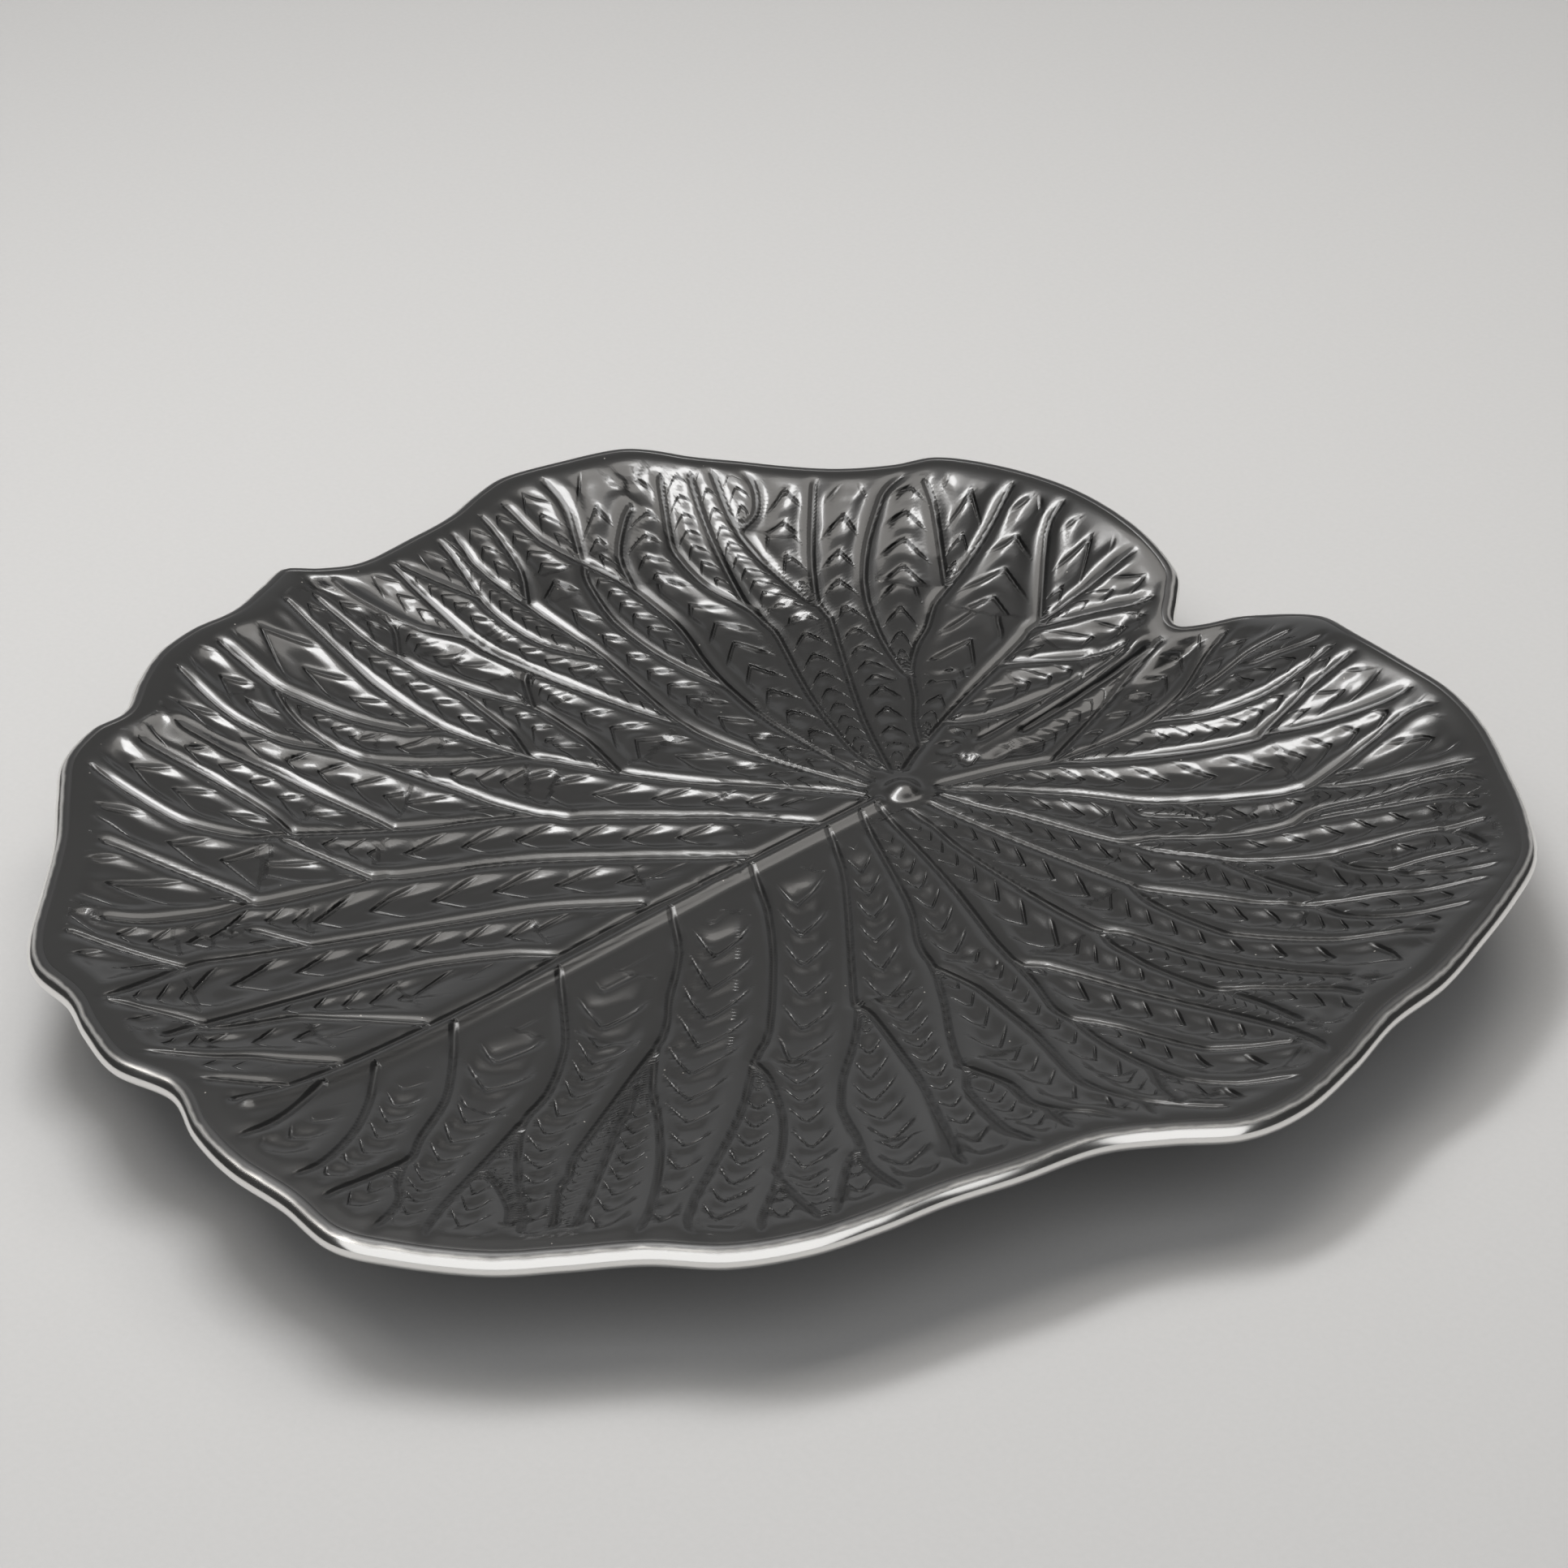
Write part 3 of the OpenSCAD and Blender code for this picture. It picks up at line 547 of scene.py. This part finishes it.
def notch_count(points, field, half_field, inward):
    """Count of the notches outward along each field, and their pitch, which grows with the field's width."""
    cells = np.bincount(field)
    outward_run = outward_field(points)
    mean_run = np.bincount(field, outward_run) / cells
    mean_half = np.bincount(field, half_field) / cells
    out = outward_run - mean_run[field]
    spread = np.bincount(field, out**2) + SPREAD_LEAST
    growth = np.bincount(field, out * (half_field - mean_half[field])) / spread
    growth = np.clip(growth, *STAMP_GROWTH)[field]
    size = np.maximum(mean_half[field] + growth * (out - STAMP_LEAN * inward), STAMP_LEAST)
    first = np.sin(field * SCATTER_TURN) * SCATTER_GAIN % 1.0
    return np.log(size) / (2 * STAMP_PITCH * growth) + first, 2 * STAMP_PITCH * size


def stamp_fade(inward, half_field, r, to_lip, to_midrib, to_notch_band):
    """Strength of the stamping: none on the bands, in narrow fields, or by the hub, lip and raised lines."""
    plain = np.minimum(PLAIN_W, PLAIN_SHARE * half_field)
    fade = smooth_step(*STAMP_FROM_PLAIN, inward / np.maximum(plain, PLAIN_LEAST))
    fade *= smooth_step(*STAMP_FROM_NARROW, half_field)
    fade *= smooth_step(*STAMP_FROM_HUB, r)
    fade *= smooth_step(*STAMP_FROM_LIP, to_lip)
    fade *= smooth_step(*STAMP_FROM_MIDRIB, to_midrib)
    return fade * smooth_step(*STAMP_FROM_NOTCH_BAND, to_notch_band)


def stamp_drop(count, pitch, centred, in_front):
    """Depth of the stamped slopes, which fall outward and end in a step back up."""
    slope = 1 - STAMP_STEP
    along = count % 1.0
    fall = np.where(along < slope, (along / slope) ** STAMP_SWELL, 1 - smooth_step(slope, 1.0, along))
    depth = np.where(in_front, STAMP_DEPTH_FRONT, STAMP_DEPTH)
    depth *= np.clip(pitch / STAMP_FULL_PITCH, *STAMP_DEPTH_SHARES)
    return depth * (STAMP_DEPTH_EDGE + (1 - STAMP_DEPTH_EDGE) * centred) * fall


def relief(points):
    """Height of the bands, fields and stamped notches, and the values that the glaze reads, by name."""
    near, across, number_near, number_across, way, run = bracketing_valleys(points)
    half_field = (near + across) / 2
    r = np.linalg.norm(points, axis=1)
    bearing = bearing_of(points)
    to_lip = reach_from_hub(bearing)[:, 0] - r
    to_midrib = nearest_on(midrib, points)[0]
    to_notch_band = nearest_on(notch_band, points)[0]
    right = right_of_midrib(points)
    left_of_valley = run[:, 0] * -way[:, 1] - run[:, 1] * -way[:, 0] > 0

    # A field is what lies between the same two valleys
    pair = np.minimum(number_near, number_across) * len(valleys) + np.maximum(number_near, number_across)
    field = np.unique(pair, return_inverse=True)[1]
    in_front = right & (np.degrees(bearing) < FRONT_BEARING)
    in_front = (np.bincount(field, in_front) / np.bincount(field) > 0.5)[field]
    lean = np.where(in_front, FRONT_LEAN, EVEN_LEAN)
    tip_side = np.where(left_of_valley == right, near, across)
    hub_side = np.where(left_of_valley == right, across, near)
    centred = np.minimum(tip_side / (2 * lean), hub_side / (2 * (1 - lean)))
    centred /= np.maximum(half_field, FIELD_LEAST)
    inward = centred * half_field

    band_h = BAND_H * (BAND_LOW + (1 - BAND_LOW) * smooth_step(*BAND_WHOLE, half_field))
    height = band_h * band_rise(near, np.minimum(BAND_W, BAND_SHARE * half_field + BAND_LEAST))
    count, pitch = notch_count(points, field, half_field, inward)
    stamped = stamp_fade(inward, half_field, r, to_lip, to_midrib, to_notch_band)
    hollow = HOLLOW_H * centred**HOLLOW_POWER * smooth_step(*HOLLOW_WHOLE, half_field)
    height -= stamped * (hollow + stamp_drop(count, pitch, centred, in_front))
    height += NOTCH_BAND_H * ridge(to_notch_band, NOTCH_BAND_W)
    beside_midrib = nearest_on(valleys[0], points)[0]
    raised = BAND_H * band_rise(beside_midrib, BAND_W) + MIDRIB_H * ridge(to_midrib, MIDRIB_W)
    blend_from = np.where(right, MIDRIB_BLEND_RIGHT, MIDRIB_BLEND_LEFT)
    height += (raised - height) * smooth_step(blend_from, MIDRIB_FOOT, to_midrib)

    join_from, join_to = HUB_JOIN_SHARES
    by_midrib = smooth_step(*HUB_JOIN, to_midrib)
    by_midrib *= smooth_step(-join_from * HUB_R, -join_to * HUB_R, points[:, 1])
    clear = np.maximum(smooth_step(*HUB_CLEAR, r), by_midrib)
    margin = smooth_step(*MARGIN, to_lip)
    height = (BAND_H + (height - BAND_H) * clear) * margin
    height -= HUB_GROOVE_H * ridge(r - HUB_R - HUB_GROOVE_OFF, HUB_GROOVE_W) * (1 - by_midrib)
    hub = HUB_RISE * np.clip(1 - (r / HUB_R) ** 2, 0, 1) ** HUB_POWER
    return np.maximum(height, hub), {
        "notch_count": count,
        "stamped": stamped * margin,
        "vein_gap": near,
        "vein_side": np.where(left_of_valley, near, -near),
        "vein_seen": margin * clear,
    }


def coordinates(mesh):
    """The places of a mesh's vertices, one row each."""
    flat = np.empty(len(mesh.vertices) * 3)
    mesh.vertices.foreach_get("co", flat)
    return flat.reshape(-1, 3)


def place_vertices(mesh, co):
    mesh.vertices.foreach_set("co", np.ascontiguousarray(co, dtype=np.float32).ravel())
    mesh.update()


def add_values(mesh, name, values):
    """One value for each vertex, which stays with it when its row is extruded."""
    mesh.attributes.new(name, "FLOAT", "POINT").data.foreach_set("value", np.asarray(values, np.float32))


def values_on(mesh, name):
    values = np.empty(len(mesh.vertices), np.float32)
    mesh.attributes[name].data.foreach_get("value", values)
    return values


# The leaf starts as a flat square grid; its rows of cells become rings round the middle of the leaf
CELLS = 288
SOFTEN = 0.45
bpy.ops.object.select_all(action="DESELECT")
bpy.ops.mesh.primitive_grid_add(x_subdivisions=CELLS, y_subdivisions=CELLS, size=2)
leaf = bpy.context.object
leaf.name = "leaf"


def softened(values):
    """Values of the square grid, evened out with their neighbours as glaze evens out clay."""
    v = np.pad(values.reshape(CELLS + 1, CELLS + 1), 1, mode="edge")
    v = (v[:-2] + 2 * v[1:-1] + v[2:]) / 4
    return ((v[:, :-2] + 2 * v[:, 1:-1] + v[:, 2:]) / 4).ravel()


x, y = coordinates(leaf.data)[:, :2].T
wide = np.abs(x) >= np.abs(y)
ring = np.where(wide, np.abs(x), np.abs(y))
with np.errstate(divide="ignore", invalid="ignore"):
    turn = np.where(
        wide,
        math.pi / 4 * y / x + np.where(x < 0, math.pi, 0),
        math.pi / 2 - math.pi / 4 * x / y + np.where(y < 0, math.pi, 0),
    )
turn = np.nan_to_num(turn)
plan = middle + ring[:, None] * (lip_from_middle(turn) - middle)
height, glaze_values = relief(plan)
height += SOFTEN * (softened(height) - height)
place_vertices(leaf.data, np.column_stack([plan - middle, leaf_height(plan) + height]) * MM)
add_values(leaf.data, "turn", turn)
for name, values in glaze_values.items():
    add_values(leaf.data, name, values)

# The lip rolls over and the underside runs back to one point under the middle, row by extruded row
LIP_FACES = 6
LIP_ANGLES = [math.pi / 2 - math.pi * k / LIP_FACES for k in range(1, LIP_FACES + 1)]
UNDER_SHARES = [0.97, 0.9, 0.78, 0.66, 0.5, 0.3, 0.12]

# Vertices in one row round the leaf, and the first vertex past the leaf's upper side
columns = 4 * CELLS
lip_start = len(leaf.data.vertices)
bpy.ops.object.mode_set(mode="EDIT")
bpy.ops.mesh.select_mode(type="EDGE")
bpy.ops.mesh.select_all(action="DESELECT")
bpy.ops.mesh.select_non_manifold(extend=False, use_wire=False, use_multi_face=False, use_verts=False)
for _ in LIP_ANGLES + UNDER_SHARES:
    bpy.ops.mesh.extrude_edges_move()
bpy.ops.mesh.extrude_edges_move()
bpy.ops.mesh.merge(type="CENTER")
bpy.ops.object.mode_set(mode="OBJECT")


def lip_point(turn, angle, grown=0.0):
    """Point on the rounded lip, at an angle above the horizontal, or that far grown out from it."""
    base = lip_from_middle(turn)
    out = outward_from_middle(turn)
    out /= np.linalg.norm(out, axis=1)[:, None]
    plan = base + (LIP_W + grown) * np.cos(angle) * out
    z = rim_height(base) - WALL / 2 + (WALL / 2 + grown) * np.sin(angle)
    return np.column_stack([plan - middle, z]) * MM


def under_point(turn, share):
    """Point on the underside, at a share of the way from the middle to the lip."""
    plan = middle + share * (lip_from_middle(turn) - middle)
    return np.column_stack([plan - middle, leaf_height(plan) - WALL]) * MM


co = coordinates(leaf.data)
turns = values_on(leaf.data, "turn")[lip_start:-1].reshape(-1, columns)
new_rows = [lip_point(turn, angle) for turn, angle in zip(turns, LIP_ANGLES)]
new_rows += [under_point(turn, share) for turn, share in zip(turns[LIP_FACES:], UNDER_SHARES)]
co[lip_start:-1] = np.vstack(new_rows)
underside_middle = (leaf_height(middle[None])[0] - WALL) * MM
co[-1] = (0, 0, underside_middle)
place_vertices(leaf.data, co)
bpy.ops.object.mode_set(mode="EDIT")
bpy.ops.mesh.select_all(action="SELECT")
bpy.ops.mesh.normals_make_consistent(inside=False)
bpy.ops.object.mode_set(mode="OBJECT")
bpy.ops.object.shade_smooth()


class Wire:
    """An output of one of a material's nodes; sums written on it add Math nodes."""

    def __init__(self, tree, socket=None):
        self.tree = tree
        self.socket = socket

    def node(self, kind, settings=None, inputs=None, output=0):
        """Adds a node of a kind, with its settings and the values or wires of its inputs."""
        made = self.tree.nodes.new(kind)
        for name, value in (settings or {}).items():
            setattr(made, name, value)
        for name, value in (inputs or {}).items():
            if isinstance(value, Wire):
                self.tree.links.new(value.socket, made.inputs[name])
            else:
                made.inputs[name].default_value = value
        return Wire(self.tree, made.outputs[output] if made.outputs else None)

    def math(self, operation, *values):
        return self.node("ShaderNodeMath", {"operation": operation}, dict(enumerate(values)))

    def step(self, low, high):
        """0 at low, 1 at high, and a smooth change between them."""
        ends = {"Value": self, "From Min": low, "From Max": high}
        return self.node("ShaderNodeMapRange", {"interpolation_type": "SMOOTHSTEP"}, ends)

    def mix(self, colour_a, colour_b):
        """Colour between two colours, by this wire."""
        return self.node("ShaderNodeMix", {"data_type": "RGBA"}, {0: self, 6: colour_a, 7: colour_b}, 2)

    def noise(self, scale, detail):
        return self.node("ShaderNodeTexNoise", {}, {"Vector": self, "Scale": scale, "Detail": detail})

    def bump(self, height, strength, distance):
        sockets = {"Strength": strength, "Distance": distance, "Height": height}
        return self.node("ShaderNodeBump", {}, sockets)

    def value_of(self, attribute):
        return self.node("ShaderNodeAttribute", {"attribute_name": attribute}, output=2)

    def __add__(self, other):
        return self.math("ADD", self, other)

    __radd__ = __add__

    def __sub__(self, other):
        return self.math("SUBTRACT", self, other)

    def __rsub__(self, other):
        return self.math("SUBTRACT", other, self)

    def __mul__(self, other):
        return self.math("MULTIPLY", self, other)

    __rmul__ = __mul__


def new_material(name):
    """An empty material and the wire of its Object coordinates."""
    material = bpy.data.materials.new(name)
    material.use_nodes = True
    material.node_tree.nodes.clear()
    return material, Wire(material.node_tree).node("ShaderNodeTexCoord", output=3)


def finish_surface(place, inputs):
    """Ends a material in one shader with these inputs."""
    shader = place.node("ShaderNodeBsdfPrincipled", {}, inputs)
    place.node("ShaderNodeOutputMaterial", {}, {"Surface": shader})


# Satin charcoal glaze: it clouds a little, is painted darker near each valley as painted shade, and has a
# darker, duller painted shade line along the valleys and in the notches' steps; fine pale specks of dust lie
# on it
GLAZE_IOR = 1.52
GLAZE_DARK = (0.004, 0.0041, 0.0042, 1)
GLAZE_PALE = (0.007, 0.007, 0.0069, 1)
GLAZE_PAINTED_SHADE = (0.003, 0.003, 0.003, 1)
DUST = (0.4, 0.38, 0.35, 1)
DUST_SCALE, DUST_R, DUST_SEEN = 150.0, 0.03, 0.6
CLOUD_SCALE, CLOUD_DETAIL = 26.0, 3.0
GRAIN_SCALE, GRAIN_DETAIL = 2400.0, 2.0
VALLEY_SHADE_FADE, VALLEY_SHADE_SHARE = (0.8, 2.4), 0.5
VALLEY_LINE, VALLEY_CREASE, VALLEY_NEAR, VALLEY_SEEN = (0.55, 0.05), (1.2, 0.0), (1.7, 1.2), (0.15, 0.6)
NOTCH_LINE_SHARE, PAINTED_SHADE_SHARE = 0.9, 0.8
GRAIN_RISE, NOTCH_SINK, CREASE_SINK = 0.010, 0.60, 0.46
GLAZE_ROUGHNESS, CLOUD_ROUGHNESS, LINE_ROUGHNESS = 0.25, 0.08, 0.15
COAT, COAT_LOST_ON_LINE, COAT_ROUGHNESS = 0.4, 0.3, 0.1
glaze, place = new_material("charcoal_glaze")
dust = place.node("ShaderNodeTexVoronoi", {"feature": "F1"}, {"Vector": place, "Scale": DUST_SCALE})
dust = dust.math("LESS_THAN", dust, DUST_R)
clouds = place.noise(CLOUD_SCALE, CLOUD_DETAIL)
grain = place.noise(GRAIN_SCALE, GRAIN_DETAIL)
valley_gap = place.value_of("vein_gap")
along = place.math("FRACT", place.value_of("notch_count"))
notch_line = place.math("ABSOLUTE", along - (1 - STAMP_STEP / 2)).step(STAMP_STEP / 2, 0.0)
notch_line = notch_line * place.value_of("stamped")
to_valley = place.math("ABSOLUTE", place.value_of("vein_side"))
in_valley = valley_gap.step(*VALLEY_NEAR) * place.value_of("vein_seen").step(*VALLEY_SEEN)
valley_line = to_valley.step(*VALLEY_LINE) * in_valley
crease = to_valley.step(*VALLEY_CREASE) * in_valley
line = place.math("MAXIMUM", NOTCH_LINE_SHARE * notch_line, valley_line)
# Painted shade: the glaze is painted darker within a few millimetres of each valley and paler on the bands,
# mixed with random clouds
pale = VALLEY_SHADE_SHARE * valley_gap.step(*VALLEY_SHADE_FADE) + (1 - VALLEY_SHADE_SHARE) * clouds
colour = pale.mix(GLAZE_DARK, GLAZE_PALE)
# Painted shade: a darker line is painted along the valleys and the notches' steps, where the creases lie in
# shade
colour = (PAINTED_SHADE_SHARE * line).mix(colour, GLAZE_PAINTED_SHADE)
colour = (DUST_SEEN * dust).mix(colour, DUST)
surface = GRAIN_RISE * grain - NOTCH_SINK * notch_line - CREASE_SINK * crease
finish_surface(
    place,
    {
        "Base Color": colour,
        "Roughness": GLAZE_ROUGHNESS + CLOUD_ROUGHNESS * clouds + LINE_ROUGHNESS * line,
        "IOR": GLAZE_IOR,
        "Coat Weight": COAT - COAT_LOST_ON_LINE * line,
        "Coat Roughness": COAT_ROUGHNESS,
        "Normal": place.bump(surface, 1.0, MM),
    },
)
leaf.data.materials.append(glaze)
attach(leaf, "root")
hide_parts("leaf_dish")

# The silver lip: a film of silver lustre, brushed onto the glazed lip and fired again. It covers the outer
# face and the roll of the lip, and ends in a soft, wandering line on the black glaze.

# Thickness in millimetres, and angles on the round lip in degrees above the horizontal: where the film's
# mesh starts and ends, and where the silver starts and is whole
FILM_T = 0.15
FILM_FACES = 12
FILM_TOP, FILM_LOW = 100.0, -90.0
SILVER_FROM, SILVER_WHOLE = 80.0, 30.0


def ring_of_rows(name, count):
    """A new object of `count` rows round the plate, each `columns` long, and the bearings of its vertices."""
    bpy.ops.object.select_all(action="DESELECT")
    bpy.ops.mesh.primitive_circle_add(vertices=columns, radius=1, fill_type="NOTHING")
    ring = bpy.context.object
    ring.name = name
    add_values(ring.data, "turn", bearing_of(coordinates(ring.data)))
    bpy.ops.object.mode_set(mode="EDIT")
    bpy.ops.mesh.select_mode(type="EDGE")
    bpy.ops.mesh.select_all(action="SELECT")
    for _ in range(count - 1):
        bpy.ops.mesh.extrude_edges_move()
    bpy.ops.object.mode_set(mode="OBJECT")
    return ring, values_on(ring.data, "turn").reshape(count, columns)


def close_ring():
    """Joins the first and the last row of the object in hand, with its faces outward."""
    bpy.ops.object.mode_set(mode="EDIT")
    bpy.ops.mesh.select_all(action="DESELECT")
    bpy.ops.mesh.select_non_manifold(extend=False, use_wire=False, use_multi_face=False, use_verts=False)
    bpy.ops.mesh.bridge_edge_loops()
    bpy.ops.mesh.select_all(action="SELECT")
    bpy.ops.mesh.normals_make_consistent(inside=False)
    bpy.ops.object.mode_set(mode="OBJECT")
    bpy.ops.object.shade_smooth()


# Both ends of the film's outer face sink halfway into the glaze
film_angles = np.radians([FILM_TOP + (FILM_LOW - FILM_TOP) * k / FILM_FACES for k in range(FILM_FACES + 1)])
film_grown = np.full(FILM_FACES + 1, FILM_T)
film_grown[[0, -1]] = -FILM_T / 2
film_rows = list(zip(film_angles, film_grown)) + [(angle, -FILM_T) for angle in film_angles[::-1]]
silver, turn_rows = ring_of_rows("silver_lip", len(film_rows))
co = [lip_point(turn, angle, grown) for turn, (angle, grown) in zip(turn_rows, film_rows)]
place_vertices(silver.data, np.vstack(co))
film = [(SILVER_FROM - math.degrees(angle)) / (SILVER_FROM - SILVER_WHOLE) for angle, _ in film_rows]
add_values(silver.data, "film", np.repeat(np.clip(film, 0, 1), columns))
close_ring()

# Lustre: mirror bright with faint brush marks where it is whole, bare charcoal glaze where it ends
SILVER = (0.86, 0.85, 0.83, 1)
BARE_GLAZE = (0.014, 0.014, 0.0145, 1)
BRUSH_SCALE, BRUSH_DETAIL, BRUSH_ROUGHNESS = 90.0, 4.0, 0.08
WANDER_SCALE, WANDER_DETAIL, WANDER = 220.0, 3.0, 0.3
FILM_EDGE, NOISE_MIDDLE = (0.2, 0.75), 0.5
BARE_ROUGHNESS, SILVER_SMOOTHS = 0.34, 0.2
lustre, place = new_material("silver_lustre")
brushed = place.noise(BRUSH_SCALE, BRUSH_DETAIL)
wander = place.noise(WANDER_SCALE, WANDER_DETAIL)
covered = (place.value_of("film") + WANDER * (wander - NOISE_MIDDLE)).step(*FILM_EDGE)
finish_surface(
    place,
    {
        "Base Color": covered.mix(BARE_GLAZE, SILVER),
        "Metallic": covered,
        "Roughness": BARE_ROUGHNESS - SILVER_SMOOTHS * covered + BRUSH_ROUGHNESS * brushed,
        "IOR": GLAZE_IOR,
    },
)
silver.data.materials.append(lustre)
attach(silver, "root")
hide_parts("rim_lustre")

# The foot: a raised foot of the same clay, pressed with the leaf, that follows its outline under the plate.
# Its sides are glazed and flow into the underside, and the flat ring it stands on is wiped bare.

# Shares of the way from the hub to the lip, and each edge's rounding as heights in millimetres and insets
# in shares; the root flares by FOOT_ROOT, reaches FOOT_SUNK into the wall and starts FOOT_SHOWN below it
FOOT_IN, FOOT_OUT = 0.56, 0.6077
FOOT_EDGE = [(2.2, 0.003), (1.2, 0.004), (0.5, 0.008), (0.1, 0.014), (0.0, 0.02)]
FOOT_ROOT, FOOT_SUNK, FOOT_SHOWN = 0.006, 0.3, 0.6
foot_rows = [(FOOT_IN - FOOT_ROOT, FOOT_SUNK, True), (FOOT_IN, -FOOT_SHOWN, True)]
foot_rows += [(FOOT_IN + inset, height, False) for height, inset in FOOT_EDGE]
foot_rows += [(FOOT_OUT - inset, height, False) for height, inset in FOOT_EDGE[::-1]]
foot_rows += [(FOOT_OUT, -FOOT_SHOWN, True), (FOOT_OUT + FOOT_ROOT, FOOT_SUNK, True)]
foot, turn_rows = ring_of_rows("foot", len(foot_rows))
co = []
for (share, height, from_leaf), turn in zip(foot_rows, turn_rows):
    plan = share * lip_from_middle(turn)
    z = height + from_leaf * (leaf_height(plan) - WALL)
    co.append(np.column_stack([plan - middle, z]) * MM)
place_vertices(foot.data, np.vstack(co))
close_ring()

# Glaze on the foot's sides, and bare buff clay, speckled and stained, on the wiped ring below it
CLAY_STAINED, CLAY = (0.30, 0.25, 0.20, 1), (0.52, 0.46, 0.38, 1)
SPECKLE_SCALE, STAIN_SCALE, CLAY_DETAIL, SPECKLE_SHARE = 1500.0, 60.0, 4.0, 0.6
SPECKLE_BUMP, SPECKLE_H = 0.4, 0.2
WIPE_SCALE, WIPE_DETAIL, WIPE_WANDER = 300.0, 3.0, 0.3
WIPED_TO, WIPED_FROM = 0.3, 0.05
CLAY_ROUGHNESS, STAIN_ROUGHNESS = 0.45, 0.08
foot_glaze, place = new_material("foot_glaze")
speckle = place.noise(SPECKLE_SCALE, CLAY_DETAIL)
stains = place.noise(STAIN_SCALE, CLAY_DETAIL)
height = place.node("ShaderNodeSeparateXYZ", {}, {"Vector": place}, 2)
wipe_edge = height + WIPE_WANDER * MM * (place.noise(WIPE_SCALE, WIPE_DETAIL) - NOISE_MIDDLE)
bare = wipe_edge.step(WIPED_TO * MM, WIPED_FROM * MM)
clay = (SPECKLE_SHARE * speckle + (1 - SPECKLE_SHARE) * stains).mix(CLAY_STAINED, CLAY)
finish_surface(
    place,
    {
        "Base Color": bare.mix(BARE_GLAZE, clay),
        "Roughness": BARE_ROUGHNESS + CLAY_ROUGHNESS * bare + STAIN_ROUGHNESS * stains,
        "IOR": GLAZE_IOR,
        "Normal": place.bump(speckle, SPECKLE_BUMP, SPECKLE_H * MM),
    },
)
foot.data.materials.append(foot_glaze)
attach(foot, "root")
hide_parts("foot_ring")

# The studio: a sheet of pale paper under the plate, two pale backdrops behind it, a large softbox and a
# narrow strip above it for the crisp reflections, and a wide white panel in front that the lip mirrors.

PAPER_W = 8.0
PAPER_DARK, PAPER_PALE, PAPER_ROUGHNESS = (0.43, 0.43, 0.43, 1), (0.46, 0.46, 0.46, 1), 0.8
FIBRE_SCALE, FIBRE_DETAIL = 700.0, 5.0
ROOM_GREY, ROOM_GLOW = (0.5, 0.5, 0.5, 1), 0.06
bpy.ops.object.select_all(action="DESELECT")
bpy.ops.mesh.primitive_plane_add(size=PAPER_W)
floor = bpy.context.object
floor.name = "floor"
paper, place = new_material("pale_paper")
fibres = place.noise(FIBRE_SCALE, FIBRE_DETAIL)
finish_surface(place, {"Base Color": fibres.mix(PAPER_DARK, PAPER_PALE), "Roughness": PAPER_ROUGHNESS})
floor.data.materials.append(paper)

world = bpy.data.worlds.new("studio")
world.use_nodes = True
world.node_tree.nodes["Background"].inputs["Color"].default_value = ROOM_GREY
world.node_tree.nodes["Background"].inputs["Strength"].default_value = ROOM_GLOW
bpy.context.scene.world = world

# Level directions as the camera sees them
AWAY = Vector((-0.7314, 0.6820, 0))
RIGHT = Vector((0.6820, 0.7314, 0))
WHITE, WARM_WHITE, SOFT_WHITE = (1, 1, 1), (1, 0.965, 0.92), (1, 0.98, 0.95)


def softbox(name, place, size, power, colour):
    """A softbox aimed at the plate, placed across, back and up in metres as the camera sees it."""
    lamp = bpy.data.lights.new(name, "AREA")
    lamp.shape = "RECTANGLE"
    lamp.size, lamp.size_y = size
    lamp.energy = power
    lamp.color = colour
    box = bpy.data.objects.new(name, lamp)
    bpy.context.collection.objects.link(box)
    across, back, up = place
    box.location = RIGHT * across + AWAY * back + Vector((0, 0, up))
    box.rotation_euler = (-box.location).to_track_quat("-Z", "Y").to_euler()


softbox("high_softbox", (-0.08, 0.2, 0.95), (1.5, 0.62), 9.0, WARM_WHITE)
softbox("high_strip", (-0.2, 0.25, 0.93), (0.5, 0.16), 5.0, WHITE)
softbox("low_backdrop", (0, 2.23, 0.56), (3.8, 1.0), 4.8, WHITE)
softbox("high_backdrop", (0, 1.61, 1.35), (3.2, 1.0), 2.6, SOFT_WHITE)
softbox("front_panel", (0, -1.294, 0.94), (3.0, 2.6), 23.0, WHITE)

# The camera, with a long lens that is shifted to frame the plate
CAMERA_AT = (0.60495, -0.55289, 0.55919)
CAMERA_WAY = (-0.60632, 0.56540, -0.55919)
LENS_MM, SENSOR_MM = 104.35, 36
SHIFT_X, SHIFT_Y = 0.0021, 0.0694
camera_data = bpy.data.cameras.new("camera")
camera_data.lens, camera_data.sensor_width = LENS_MM, SENSOR_MM
camera_data.shift_x, camera_data.shift_y = SHIFT_X, SHIFT_Y
camera = bpy.data.objects.new("camera", camera_data)
bpy.context.collection.objects.link(camera)
camera.location = CAMERA_AT
camera.rotation_euler = Vector(CAMERA_WAY).to_track_quat("-Z", "Y").to_euler()
bpy.context.scene.camera = camera
bpy.context.scene.view_settings.view_transform = "Standard"
